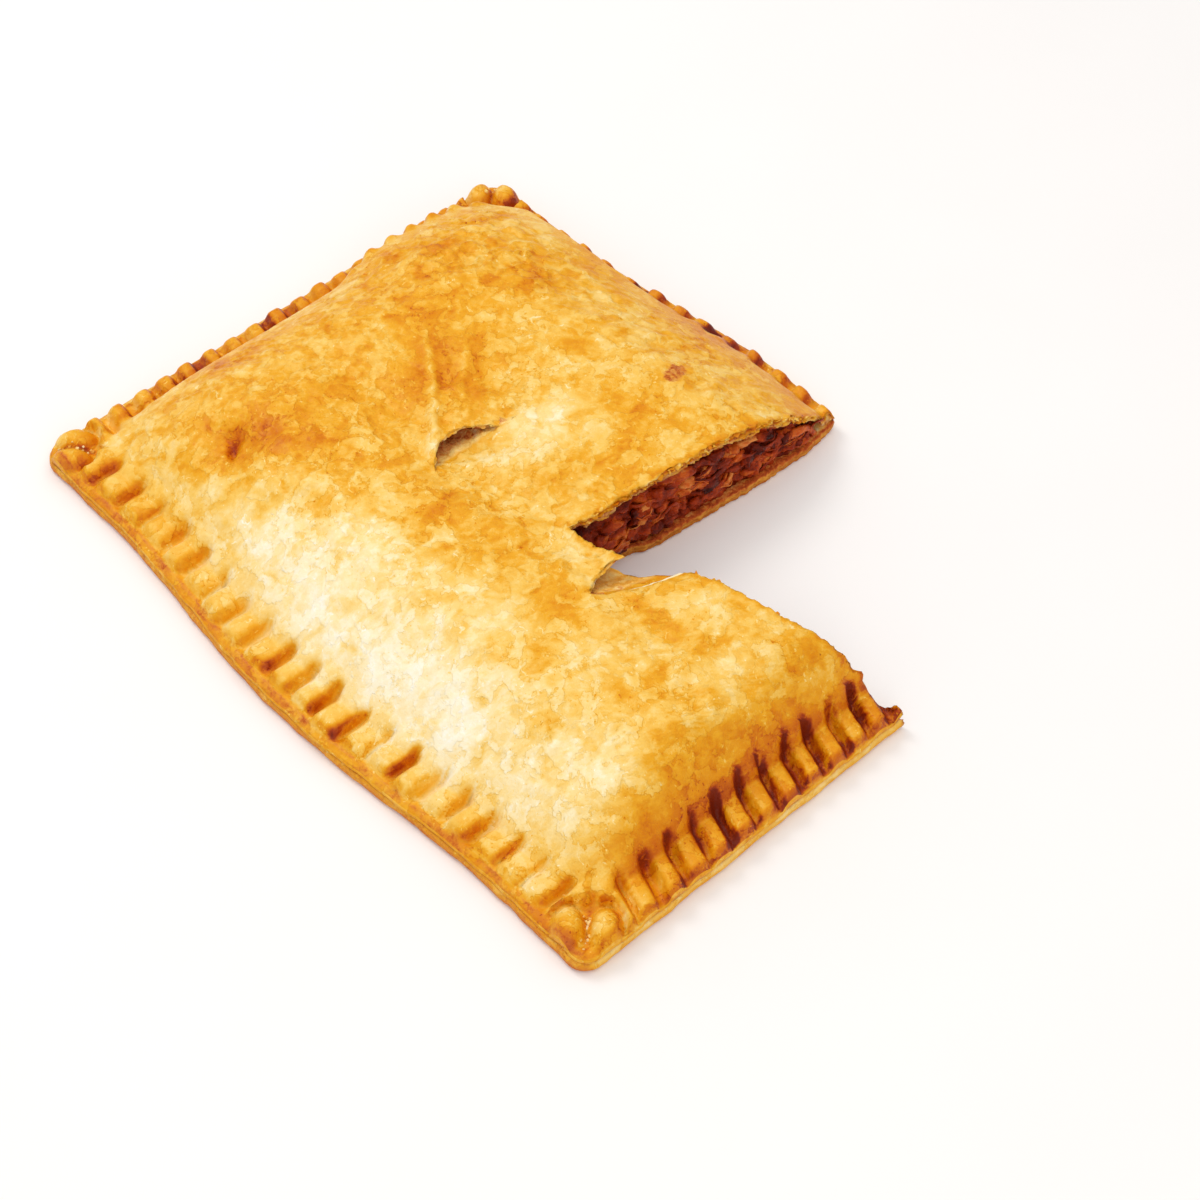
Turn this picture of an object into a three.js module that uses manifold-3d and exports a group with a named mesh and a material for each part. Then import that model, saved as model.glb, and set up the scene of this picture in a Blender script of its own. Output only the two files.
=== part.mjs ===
// A family-size empanada: a flat rectangular pie of two sheets of puff pastry round a cooked
// filling, sealed along its rim by pressed crimps and open at small crescent steam vents.
// One quarter is cut away, so the pie is L-shaped and its three layers show on two cut faces.
// Millimetres, +Z up, the base on z = 0 and the origin under the middle of the pie's box.

import * as THREE from 'three';
import { mergeVertices } from 'three/addons/utils/BufferGeometryUtils.js';
import Module from 'manifold-3d';

const wasm = await Module();
wasm.setup();

// ---------------------------------------------------------------- driving dimensions

const LENGTH = 236.8;        // whole pie along X
const WIDTH = 176.5;         // whole pie along Y, before its long sides bow out
const CORNER_RADIUS = 6;     // outline's corner in plan
const BOW_SPAN = 170;        // length of side over which a bow fades in and out
const FRONT_BOW = 6;         // how far the front side bows out
const BACK_BOW = 7;          // how far the back side bows out
const BACK_BOW_CENTRE = 5;   // where along X the back side bows out most

const BASE_THICKNESS = 3.5;  // bottom sheet
const LAYER_GAP = 0.3;       // clearance between neighbouring layers
const RIM_TOP = 5.8;         // top of the pressed rim, in the valleys between ridges
const RIM_SHEET = 1.9;       // top sheet where it is pressed down on the rim
const CRUST = 3.4;           // top sheet over the filling
const DOME_TOP = 29;         // top of the pillow, before its swells and hollows
const SHEET_INSET = 0.5;     // the top sheet's edge lies this far inside the bottom one's

const EDGE_DROP = 0.8;       // rounding of the top sheet's upper edge: how far it drops
const EDGE_REACH = 2.5;      // and the inset where the rounding ends
const THIN_SHEET_INSET = 12; // the top sheet is thin out to here and thick from the next one in
const THICK_SHEET_INSET = 30;

const RIDGE_HEIGHT = 3;      // crimp ridges above the valleys
const RIDGE_INNER_END = 16;  // inset at which a ridge has run into the pillow
const RIDGE_FADE_IN = 3.5;   // length over which a ridge rises at its outer end
const RIDGE_FADE_OUT = 8;    // and sinks at its inner end
const LOBE_WIDTH = 9;        // each of the two lobes that a diagonal groove leaves at a corner
const LOBE_BLEND = 3;        // width over which a lobe turns into ordinary ridges
const FILLING_INSET = 16.5;  // the filling stops this far inside the rim
const FOOT_INSET = 0.8;      // the bottom sheet's underside stops this far inside its top

// One side of the outline each. The crimps' ridges stand at first + pitch n + taper n * n,
// measured along the side. strip is the flat outer edge before the ridges start, and the
// pillow climbs from its foot to its shoulder, both insets from the edge.
const SIDES = {
  front: { first: -102, pitch: 11.6, taper: -0.068, strip: 4.5, foot: 10.5, shoulder: 52 },
  right: { first: -79.4, pitch: 8.4, taper: 0, strip: 1.8, foot: 9.5, shoulder: 31 },
  back: { first: -101.4, pitch: 9.9, taper: 0, strip: 2.2, foot: 10.5, shoulder: 60 },
  left: { first: -79.7, pitch: 8.4, taper: 0, strip: 2.2, foot: 10.5, shoulder: 58 },
};
const PILLOW_POWER = 2.2;    // how steeply the pillow leaves its foot: 1 is a plain slope

// Broad swells and hollows of the pillow: centre, reach along x and y, and rise.
const SWELLS = [
  { x: 35, y: -42, reachX: 52, reachY: 20, rise: 3 },     // front half
  { x: -2, y: 42, reachX: 30, reachY: 24, rise: 3.5 },    // back half, beside the cut
  { x: -62, y: 20, reachX: 30, reachY: 34, rise: 1.5 },   // left end
  { x: -30, y: -14, reachX: 55, reachY: 9, rise: -2 },    // sag between the two halves
  { x: 60, y: -14, reachX: 34, reachY: 8, rise: -1.5 },   // the same sag, past the cut corner
  { x: -67, y: -53, reachX: 11, reachY: 9, rise: -5 },    // closed vent near the front left
  { x: -19, y: -3, reachX: 9, reachY: 14, rise: -3 },     // funnel round the middle vent
  { x: 43, y: -3, reachX: 9, reachY: 11, rise: -5 },      // funnel round the vent at the cut
  { x: 66, y: 8, reachX: 16, reachY: 12, rise: 2 },       // crest beside that vent
];

// Steam vents: a crescent between its two tips, open towards the side that bulges.
const VENTS = [
  { from: [-17.4, -19.3], to: [-18.9, 9.7], bulge: 7, lip: 0.6 },
  { from: [45.1, -15.2], to: [56.7, 19.2], bulge: 10, lip: -4.5 },
];

// The quarter that is missing: knife lines from the inner corner to the rim.
const INNER_CORNER = [23.1, -7.3];
const FRONT_CUT_END = [118, 27];
const BACK_CUT_END = [30.5, 93];
const CUT_OVERRUN = 30;      // how far the knife lines run past the rim
const CUT_STEP = 4;          // spacing of the tears along a cut edge

// Each layer's cut face: how far it recedes behind the knife line, the size of its tears,
// and the number that its tears are drawn from.
const CUTS = {
  crustTop: { recess: 0, tear: 0.9, seed: 0 },
  filling: { recess: 1.5, tear: 0.8, seed: 100 },
  crustBottom: { recess: -0.8, tear: 0.5, seed: 200 },
};

// ---------------------------------------------------------------- shape functions

const halfLength = LENGTH / 2;
const halfWidth = WIDTH / 2;
const sealZ = BASE_THICKNESS + LAYER_GAP;

function ramp(value, from, to) {
  return THREE.MathUtils.smoothstep(value, from, to);
}

// A repeatable value between -1 and 1 for a whole number.
function jitter(index) {
  const wave = Math.sin(index * 127.1 + 11.7) * 4375.85;
  return 2 * (wave - Math.floor(wave)) - 1;
}

function insets(x, y) {
  return {
    front: halfWidth + y,
    right: halfLength - x,
    back: halfWidth - y,
    left: halfLength + x,
  };
}

// How far a side's middle bows out at x, as a share of its full bow.
function bowShare(x, centre) {
  const phase = THREE.MathUtils.clamp((x - centre) / BOW_SPAN, -0.5, 0.5);
  return Math.cos(Math.PI * phase) ** 2;
}

// Moves a point of the plain rectangle out with the bowed front and back sides.
function bowed(x, y) {
  const bow = y < 0 ? FRONT_BOW * bowShare(x, 0) : BACK_BOW * bowShare(x, BACK_BOW_CENTRE);
  return y * (1 + bow / halfWidth);
}

// The number of a crimp ridge at distance s along a side, with fractions in between.
function ridgeNumber(side, s) {
  const run = s - side.first;
  const root = side.pitch ** 2 + 4 * side.taper * run;
  return (2 * run) / (side.pitch + Math.sqrt(Math.max(root, 0)));
}

function ridgePlace(side, n) {
  return side.first + side.pitch * n + side.taper * n * n;
}

function crimp(x, y) {
  const inset = insets(x, y);
  const byInset = Object.keys(inset).sort((a, b) => inset[a] - inset[b]);
  const nearest = byInset[0];
  const side = SIDES[nearest];
  const alongX = nearest === 'front' || nearest === 'back';
  const turns = ridgeNumber(side, alongX ? x : y);
  const depth = inset[nearest];
  const offDiagonal = inset[byInset[1]] - depth;
  const ridge = Math.sqrt(0.5 + 0.5 * Math.cos(2 * Math.PI * turns));
  const lobe = 1 - ramp(offDiagonal, LOBE_WIDTH + 1 - LOBE_BLEND, LOBE_WIDTH + 1);
  const crest = THREE.MathUtils.lerp(ridge, Math.sin(Math.PI * offDiagonal / LOBE_WIDTH), lobe);
  const start = side.strip - 1.5;
  const end = RIDGE_INNER_END + 3;
  const length = ramp(depth, start, start + RIDGE_FADE_IN) * (1 - ramp(depth, end - RIDGE_FADE_OUT, end));
  return RIDGE_HEIGHT * length * crest;
}

function pillow(x, y) {
  const inset = insets(x, y);
  let share = 1;
  for (const name of Object.keys(SIDES)) {
    const { foot, shoulder } = SIDES[name];
    const climb = THREE.MathUtils.clamp((inset[name] - foot) / (shoulder - foot), 0, 1);
    share *= 1 - (1 - climb) ** PILLOW_POWER;
  }
  let top = DOME_TOP;
  for (const swell of SWELLS) {
    const reach = ((x - swell.x) / swell.reachX) ** 2 + ((y - swell.y) / swell.reachY) ** 2;
    top += swell.rise * Math.exp(-reach);
  }
  return RIM_TOP + (top - RIM_TOP) * share;
}

function crustTopZ(x, y) {
  const inset = insets(x, y);
  const depth = Math.min(inset.front, inset.right, inset.back, inset.left);
  const edge = EDGE_DROP * (1 - ramp(depth, SHEET_INSET, EDGE_REACH));
  return pillow(x, y) + crimp(x, y) - edge;
}

function crustUndersideZ(x, y) {
  const inset = insets(x, y);
  const depth = Math.min(inset.front, inset.right, inset.back, inset.left);
  const thick = ramp(depth, THIN_SHEET_INSET, THICK_SHEET_INSET);
  const sheet = THREE.MathUtils.lerp(RIM_SHEET, CRUST, thick);
  return Math.max(sealZ, pillow(x, y) - sheet);
}

function fillingTopZ(x, y) {
  return crustUndersideZ(x, y) - LAYER_GAP;
}

// ---------------------------------------------------------------- loops in plan

// A closed loop round the pie at an inset, counterclockwise from the front left corner,
// with its points set every step crimps, so that ridges and valleys fall on points.
function rimLoop(inset, step) {
  const radius = CORNER_RADIUS + 0.25 * inset;
  const reachX = halfLength - inset - radius;
  const reachY = halfWidth - inset - radius;
  const arcSteps = 4;
  const turns = [
    { side: 'front', cornerX: -reachX, cornerY: -reachY, start: Math.PI },
    { side: 'right', cornerX: reachX, cornerY: -reachY, start: 1.5 * Math.PI },
    { side: 'back', cornerX: reachX, cornerY: reachY, start: 0 },
    { side: 'left', cornerX: -reachX, cornerY: reachY, start: 0.5 * Math.PI },
  ];
  const points = [];
  for (const turn of turns) {
    for (let i = 0; i <= arcSteps; i += 1) {
      const angle = turn.start + (0.5 * Math.PI * i) / arcSteps;
      points.push([turn.cornerX + radius * Math.cos(angle), turn.cornerY + radius * Math.sin(angle)]);
    }
    points.push(...sidePoints(turn.side, inset, reachX, reachY, step));
  }
  const corner = arcSteps / 2;
  return [...points.slice(corner), ...points.slice(0, corner)];
}

function sidePoints(name, inset, reachX, reachY, step) {
  const side = SIDES[name];
  const alongX = name === 'front' || name === 'back';
  const reach = alongX ? reachX : reachY;
  const margin = 1;
  const first = Math.ceil(ridgeNumber(side, margin - reach) / step) * step;
  const places = [];
  for (let n = first; ridgePlace(side, n) < reach - margin; n += step) {
    places.push(ridgePlace(side, n));
  }
  const across = (alongX ? halfWidth : halfLength) - inset;
  if (name === 'front') return places.map((s) => [s, -across]);
  if (name === 'right') return places.map((s) => [across, s]);
  if (name === 'back') return places.reverse().map((s) => [s, across]);
  return places.reverse().map((s) => [-across, s]);
}

// ---------------------------------------------------------------- building closed solids

// Collects points and triangles, and gives a closed mesh.
class Shell {
  constructor() {
    this.points = [];
    this.triangles = [];
  }

  // Adds a plan loop at heights given by a function, and returns the points' numbers.
  loop(plan, heightAt) {
    return plan.map(([x, y]) => this.point(x, y, heightAt(x, y)));
  }

  point(x, y, z) {
    this.points.push(new THREE.Vector3(x, bowed(x, y), z));
    return this.points.length - 1;
  }

  triangle(a, b, c, flipped) {
    this.triangles.push(...(flipped ? [a, c, b] : [a, b, c]));
  }

  // Joins two closed loops by a band, always closing the shorter diagonal next.
  band(outer, inner, flipped = false) {
    const gap = (a, b) => this.points[a].distanceToSquared(this.points[b]);
    let i = 0;
    let j = 0;
    while (i < outer.length || j < inner.length) {
      const a = outer[i % outer.length];
      const b = inner[j % inner.length];
      const nextA = outer[(i + 1) % outer.length];
      const nextB = inner[(j + 1) % inner.length];
      const stepOuter = j === inner.length || (i < outer.length && gap(nextA, b) <= gap(a, nextB));
      if (stepOuter) {
        this.triangle(a, nextA, b, flipped);
        i += 1;
      } else {
        this.triangle(a, nextB, b, flipped);
        j += 1;
      }
    }
  }

  // A rectangular patch in the middle. Returns its border as a loop.
  patch(inset, columns, rows, heightAt, flipped = false) {
    const reachX = halfLength - inset;
    const reachY = halfWidth - inset;
    const grid = [];
    for (let row = 0; row <= rows; row += 1) {
      const y = THREE.MathUtils.lerp(-reachY, reachY, row / rows);
      const line = [];
      for (let column = 0; column <= columns; column += 1) {
        const x = THREE.MathUtils.lerp(-reachX, reachX, column / columns);
        line.push(this.point(x, y, heightAt(x, y)));
      }
      grid.push(line);
    }
    for (let row = 0; row < rows; row += 1) {
      for (let column = 0; column < columns; column += 1) {
        const a = grid[row][column];
        const b = grid[row][column + 1];
        const c = grid[row + 1][column + 1];
        const d = grid[row + 1][column];
        this.triangle(a, b, c, flipped);
        this.triangle(a, c, d, flipped);
      }
    }
    const border = [...grid[0]];
    for (let row = 1; row <= rows; row += 1) border.push(grid[row][columns]);
    for (let column = columns - 1; column >= 0; column -= 1) border.push(grid[rows][column]);
    for (let row = rows - 1; row >= 1; row -= 1) border.push(grid[row][0]);
    return border;
  }

  // Closes a flat loop with triangles.
  cap(loop, flipped = false) {
    const outline = loop.map((i) => new THREE.Vector2(this.points[i].x, this.points[i].y));
    for (const [a, b, c] of THREE.ShapeUtils.triangulateShape(outline, [])) {
      this.triangle(loop[a], loop[b], loop[c], flipped);
    }
  }

  geometry() {
    const geometry = new THREE.BufferGeometry();
    const coordinates = this.points.flatMap((p) => [p.x, p.y, p.z]);
    geometry.setAttribute('position', new THREE.Float32BufferAttribute(coordinates, 3));
    geometry.setIndex(this.triangles);
    return geometry;
  }
}

// Insets of the loops between the rim and the middle patch, with the crimps per point.
const MIDDLE_INSET = 36;
const TOP_LOOPS = [
  { inset: SHEET_INSET, step: 0.25 },
  { inset: 2.8, step: 0.25 },
  { inset: 6.5, step: 0.25 },
  { inset: 11, step: 0.25 },
  { inset: 15.5, step: 0.25 },
  { inset: 20.5, step: 0.5 },
  { inset: 27.5, step: 0.5 },
];
const INNER_LOOPS = [
  { inset: FILLING_INSET, step: 0.5 },
  { inset: 21, step: 0.5 },
  { inset: 28, step: 1 },
];
const TOP_PATCH = { columns: 30, rows: 18 };
const INNER_PATCH = { columns: 20, rows: 12 };

// Lays loops and the middle patch as one skin, and returns its outermost loop.
function skin(shell, loops, patch, heightAt, flipped) {
  const rings = loops.map(({ inset, step }) => shell.loop(rimLoop(inset, step), heightAt));
  rings.push(shell.patch(MIDDLE_INSET, patch.columns, patch.rows, heightAt, flipped));
  for (let i = 0; i + 1 < rings.length; i += 1) {
    shell.band(rings[i], rings[i + 1], flipped);
  }
  return rings[0];
}

// ---------------------------------------------------------------- cutting

function toManifold(geometry) {
  const bare = geometry.clone();
  bare.deleteAttribute('normal');
  bare.deleteAttribute('uv');
  const merged = mergeVertices(bare, 1e-4);
  const vertProperties = new Float32Array(merged.attributes.position.array);
  const triVerts = new Uint32Array(merged.index.array);
  return new wasm.Manifold(new wasm.Mesh({ numProp: 3, vertProperties, triVerts }));
}

function toGeometry(solid) {
  const mesh = solid.getMesh();
  const geometry = new THREE.BufferGeometry();
  const position = new THREE.Float32BufferAttribute(mesh.vertProperties, mesh.numProp);
  geometry.setAttribute('position', position);
  geometry.setIndex(Array.from(mesh.triVerts));
  geometry.computeVertexNormals();
  return geometry;
}

// An upright prism over a plan outline, tall enough to pass through the whole pie.
function prism(outline) {
  const shape = new THREE.Shape(outline.map(([x, y]) => new THREE.Vector2(x, y)));
  const passThrough = 10;
  const depth = DOME_TOP + 2 * passThrough;
  const geometry = new THREE.ExtrudeGeometry(shape, { depth, bevelEnabled: false });
  geometry.translate(0, 0, -passThrough);
  return toManifold(geometry);
}

// Points of a torn knife line from one end to past the other. shift moves the whole line
// to its left, and tear is the size of the tears.
function knifeLine(from, to, shift, tear, seed) {
  const line = new THREE.Vector2(to[0] - from[0], to[1] - from[1]);
  const run = line.length();
  const along = line.clone().normalize();
  const left = new THREE.Vector2(-along.y, along.x);
  const points = [];
  const steps = Math.round(run / CUT_STEP);
  for (let i = 0; i <= steps; i += 1) {
    const s = (run * i) / steps;
    const aside = shift + (i === 0 ? 0 : tear * jitter(i + seed));
    points.push([from[0] + along.x * s + left.x * aside, from[1] + along.y * s + left.y * aside]);
  }
  const end = run + CUT_OVERRUN;
  points.push([from[0] + along.x * end + left.x * shift, from[1] + along.y * end + left.y * shift]);
  return points;
}

// The missing quarter, as one layer's cut face bounds it.
function missingQuarter({ recess, tear, seed }) {
  const backSeed = seed + 50;
  const front = knifeLine(INNER_CORNER, FRONT_CUT_END, -recess, tear, seed);
  const back = knifeLine(INNER_CORNER, BACK_CUT_END, recess, tear, backSeed);
  const corner = [INNER_CORNER[0] - recess, INNER_CORNER[1] - recess];
  const outside = [LENGTH, WIDTH];
  return prism([corner, ...front.slice(1), outside, ...back.slice(1).reverse()]);
}

// A crescent between its tips: the far edge bulges out by bulge, the near one by lip.
function ventOpening(vent) {
  const from = new THREE.Vector2(...vent.from);
  const to = new THREE.Vector2(...vent.to);
  const chord = to.clone().sub(from);
  const left = new THREE.Vector2(-chord.y, chord.x).normalize();
  const steps = 8;
  const edge = (bulge) => {
    const points = [];
    for (let i = 0; i < steps; i += 1) {
      const t = i / steps;
      const aside = bulge * Math.sin(Math.PI * t);
      points.push([from.x + chord.x * t + left.x * aside, from.y + chord.y * t + left.y * aside]);
    }
    return points;
  };
  const near = edge(vent.lip);
  const far = edge(vent.bulge).slice(1).reverse();
  return prism([...near, [to.x, to.y], ...far]);
}

// ---------------------------------------------------------------- the three layers

function buildCrustTop() {
  const shell = new Shell();
  const topEdge = skin(shell, TOP_LOOPS, TOP_PATCH, crustTopZ, false);
  const innerEdge = skin(shell, INNER_LOOPS, INNER_PATCH, crustUndersideZ, true);
  const sealFlat = shell.loop(rimLoop(SIDES.front.foot, 0.5), () => sealZ);
  const sealEdge = shell.loop(rimLoop(SHEET_INSET, 0.5), () => sealZ);
  shell.band(sealFlat, innerEdge, true);
  shell.band(sealEdge, sealFlat, true);
  shell.band(topEdge, sealEdge, true);
  let solid = toManifold(shell.geometry());
  solid = solid.subtract(missingQuarter(CUTS.crustTop));
  for (const vent of VENTS) {
    solid = solid.subtract(ventOpening(vent));
  }
  return toGeometry(solid);
}

function buildFilling() {
  const shell = new Shell();
  const topEdge = skin(shell, INNER_LOOPS, INNER_PATCH, fillingTopZ, false);
  const foot = shell.loop(rimLoop(FILLING_INSET, 0.5), () => sealZ);
  shell.band(topEdge, foot, true);
  shell.cap(foot, true);
  const solid = toManifold(shell.geometry());
  return toGeometry(solid.subtract(missingQuarter(CUTS.filling)));
}

function buildCrustBottom() {
  const shell = new Shell();
  const top = shell.loop(rimLoop(0, 0.5), () => BASE_THICKNESS);
  const foot = shell.loop(rimLoop(FOOT_INSET, 0.5), () => 0);
  shell.cap(top);
  shell.band(top, foot, true);
  shell.cap(foot, true);
  const solid = toManifold(shell.geometry());
  return toGeometry(solid.subtract(missingQuarter(CUTS.crustBottom)));
}

// ---------------------------------------------------------------- the scene graph

const goldenPastry = new THREE.MeshStandardMaterial({
  color: 0xe2a544,
  roughness: 0.42,
  metalness: 0,
});
const tomatoFilling = new THREE.MeshStandardMaterial({
  color: 0x96381a,
  roughness: 0.38,
  metalness: 0,
});
const paleBase = new THREE.MeshStandardMaterial({
  color: 0xcfa05a,
  roughness: 0.7,
  metalness: 0,
});

function layer(name, geometry, material) {
  const mesh = new THREE.Mesh(geometry, material);
  mesh.name = name;
  return mesh;
}

const pie = new THREE.Group();
pie.add(layer('crust_bottom', buildCrustBottom(), paleBase));
pie.add(layer('filling', buildFilling(), tomatoFilling));
pie.add(layer('crust_top', buildCrustTop(), goldenPastry));

const box = new THREE.Box3().setFromObject(pie);
const middle = box.getCenter(new THREE.Vector3());
pie.position.set(-middle.x, -middle.y, -box.min.z);

const group = new THREE.Group();
group.name = 'empanada';
group.add(pie);

export default group;
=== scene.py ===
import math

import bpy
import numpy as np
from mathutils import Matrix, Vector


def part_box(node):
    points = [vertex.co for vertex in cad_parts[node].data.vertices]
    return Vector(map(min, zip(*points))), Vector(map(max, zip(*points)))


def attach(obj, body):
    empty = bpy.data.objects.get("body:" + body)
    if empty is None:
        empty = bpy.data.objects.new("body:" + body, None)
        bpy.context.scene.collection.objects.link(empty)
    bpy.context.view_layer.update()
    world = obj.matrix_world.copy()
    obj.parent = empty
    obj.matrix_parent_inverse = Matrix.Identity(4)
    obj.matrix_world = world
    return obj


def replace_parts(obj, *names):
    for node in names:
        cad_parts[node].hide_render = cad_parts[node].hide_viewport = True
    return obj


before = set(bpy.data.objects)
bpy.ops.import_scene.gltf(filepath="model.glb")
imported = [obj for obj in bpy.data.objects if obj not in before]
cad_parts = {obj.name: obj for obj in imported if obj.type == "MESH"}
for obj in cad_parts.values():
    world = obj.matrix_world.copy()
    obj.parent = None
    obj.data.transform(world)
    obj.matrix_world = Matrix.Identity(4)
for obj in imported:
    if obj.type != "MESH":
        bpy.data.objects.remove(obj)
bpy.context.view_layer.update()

# A family-size empanada: two sheets of puff pastry sealed round a cooked tomato filling,
# crimped along the rim, vented by small crescents and with one quarter cut away.
#
# Shapes are worked out in millimetres, in plan coordinates: u along the long sides and v along
# the short ones, on the plain rectangle that the sheets were cut to. to_plan() then rounds its
# corners, bows its long sides and gives the frame's own x and y.

MM = 0.001

# ------------------------------------------------------------------ sizes

FRONT_BOW = 6.0              # how far the middle of the front side bows out
BACK_BOW = 7.0
BACK_BOW_CENTRE = 5.0        # where along u the back side bows out most
BOW_SPAN = 170.0
CORNER_ZONE = 6.0            # size of the rounded part of a corner

base_low, base_high = (np.array(corner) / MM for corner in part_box("crust_bottom"))
HALF_LENGTH = 0.5 * (base_high[0] - base_low[0])
HALF_WIDTH = 0.5 * (base_high[1] - base_low[1] - FRONT_BOW - BACK_BOW)
SHIFT_Y = base_low[1] + HALF_WIDTH + FRONT_BOW
BASE_THICKNESS = base_high[2]
SEAL_Z = BASE_THICKNESS - 0.2                # where the top sheet is pressed into the bottom one

RIM_TOP = 5.8                # top of the pressed rim between its ridges
RIM_SHEET = 1.9              # thickness of the top sheet on the rim
CRUST = 3.4                  # and over the filling
DOME_TOP = 29.0
PILLOW_POWER = 2.2           # how steeply the pillow leaves its foot: 1 is a plain slope
SHEET_INSET = 0.5            # the top sheet's edge lies this far inside the bottom one's
FILLING_INSETS = dict(front=16.5, right=15.5, back=8.5, left=9.5)
SOFT_TOP = 30.0              # the pillow seldom swells much above this
LOBE_HEIGHT = 4.2
LOBE_RADIUS = 4.7            # each of the two lobes beside a corner's diagonal groove
LOBE_STRETCH = 1.45          # how much longer they are along the groove
LOBE_INSET = (4.3, 5.0)      # their middles from the nearer side, at the left and right corners
LOBE_ALONG = (10.0, 11.8)    # and from the other side
LOBE_CLEAR = 14.9            # no ridge stands nearer than this to a corner
CORNER_FOOT = 11.0           # where the pillow's foot lies near the corners
CORNER_INNER = 14.0          # and how far in the ridges reach there
WALL_WIDTH = 4.5             # of the steep wall at the pillow's foot
FILLING_GAP = 0.4            # between the filling and the top sheet
CUT_TEAR = 0.55              # how far the top sheet's cuts are torn off their lines
EDGE_STAND = 0.9             # how far the leaves in the top sheet's edge stand out
TONGUE_LIP = 0.02            # share of a vent's tongue that is the edge of the near lip
EDGE_ROWS = (0, 0.06, 0.15, 0.25, 0.35, 0.45, 0.55, 0.65, 0.75, 0.85, 0.93, 1)
TOP_SPACING = (0.6, 0.76)    # of the grid lines near the rim and cuts, and away from them
UNDER_SPACING = (1.8, 2.4)
BASE_WAVES = 5.0             # seed of the waves in the bottom sheet's outline
FACE_RECESS = 1.2            # how far behind the cuts the filling's pieces are placed
RED_SPOT = (1.1, 50.0)       # where juice of the filling has soaked through

# The places in plan that the rings which close the solids shrink to.
FILLING_HUB = (-12.0, -32.0)
FILLING_FLOOR_HUB = (-10.0, -68.0)
SHEET_HUB = (-12.0, -72.0)

# One side of the outline each. The crimps' ridges stand at first + pitch n + taper n n along
# the side, and lean by lean millimetres for each one inwards. They reach from the inset strip
# to the inset inner. half is their half width as a share of the pitch, high is how far they
# rise, and edge how sharply they drop at their sides. The pillow climbs from its foot to its
# shoulder, both insets, and its first millimetres are a wall that makes up the share wall of
# its height. pit and crest are how browned the valleys and the ridges are, and spread how much
# that differs between valleys.
SIDES = {
    "front": dict(first=-102, pitch=11.6, taper=-0.068, lean=0.04, strip=2.8, inner=13.4,
                  half=0.46, high=3.2, edge=3.6, foot=11, shoulder=52, wall=0.06,
                  pit=0.11, spread=2.4, crest=0.03),
    "right": dict(first=-79.4, pitch=8.4, taper=0, lean=0.3, strip=0.4, inner=13.2,
                  half=0.42, high=3.2, edge=4.2, foot=10.5, shoulder=31, wall=0.05,
                  pit=0.46, spread=0.2, crest=0.12),
    "back": dict(first=-101.4, pitch=9.9, taper=0, lean=0.1, strip=0.9, inner=6.5,
                 half=0.40, high=3.6, edge=2.8, foot=4.8, shoulder=56, wall=0.36,
                 pit=0.28, spread=0.8, crest=0.12),
    "left": dict(first=-79.7, pitch=8.4, taper=0, lean=-0.1, strip=1.0, inner=9.5,
                 half=0.40, high=3.4, edge=2.8, foot=9.0, shoulder=54, wall=0.30,
                 pit=0.26, spread=0.8, crest=0.12),
}
LEAN_PIVOT = 7               # the inset at which the lean moves no ridge
RIDGE_DRAWS = 64             # how many ridges differ before their shapes repeat

# Broad swells and hollows of the pillow: u, v, reach along each, and rise.
SWELLS = (
    (35, -42, 52, 20, 3.0),
    (-2, 42, 30, 24, 3.5),
    (-62, 20, 30, 34, 1.5),
    (-30, -14, 55, 9, -2.0),
    (60, -14, 34, 8, -1.5),
    (-67, -54, 9, 8, -4.5),
    (-19, -3, 10, 15, -1.5),
    (66, 8, 16, 12, 2.0),
    (-44, 6, 9, 9, -1.6),
    (-34, 16, 8, 10, -1.4),
)

# Folds of the top sheet: from, to, width across, rise, and how much paler their crest is.
FOLDS = (
    ((-21, -16), (-60, 12), 1.6, 1.6, 0.26),
    ((-33, 2), (-55, 24), 1.5, 1.0, 0.16),
    ((-47, 12), (-66, 30), 1.8, 0.9, 0.14),
    ((-62, 46), (-42, 26), 2.0, 0.8, 0.05),
    ((-54, -58), (-12, -30), 6.0, 1.5, 0.0),
    ((-12, -30), (24, -12), 5.0, 1.4, 0.0),
    ((-4, -38), (16, -27), 1.6, 0.9, 0.08),
    ((16, -27), (20, -17), 1.6, 0.8, 0.08),
    ((24, -17), (60, -22), 5.0, 1.0, 0.0),
    ((84, -30), (70, 2), 3.0, 1.0, 0.06),
    ((88, -36), (103, -6), 2.2, 0.9, 0.08),
    ((78, -14), (96, -22), 1.8, 0.7, 0.06),
    ((20, 40), (8, 62), 2.2, 0.8, 0.05),
    ((-19, 2), (-20, 13), 1.0, -0.7, -0.12),
    ((-60, -43), (-52, -37), 1.2, -0.8, -0.15),
    ((-71, -51), (-63, -56), 1.5, -1.5, -0.13),
    ((-66, -56), (-66, -49), 1.2, -0.9, -0.08),
)

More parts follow.
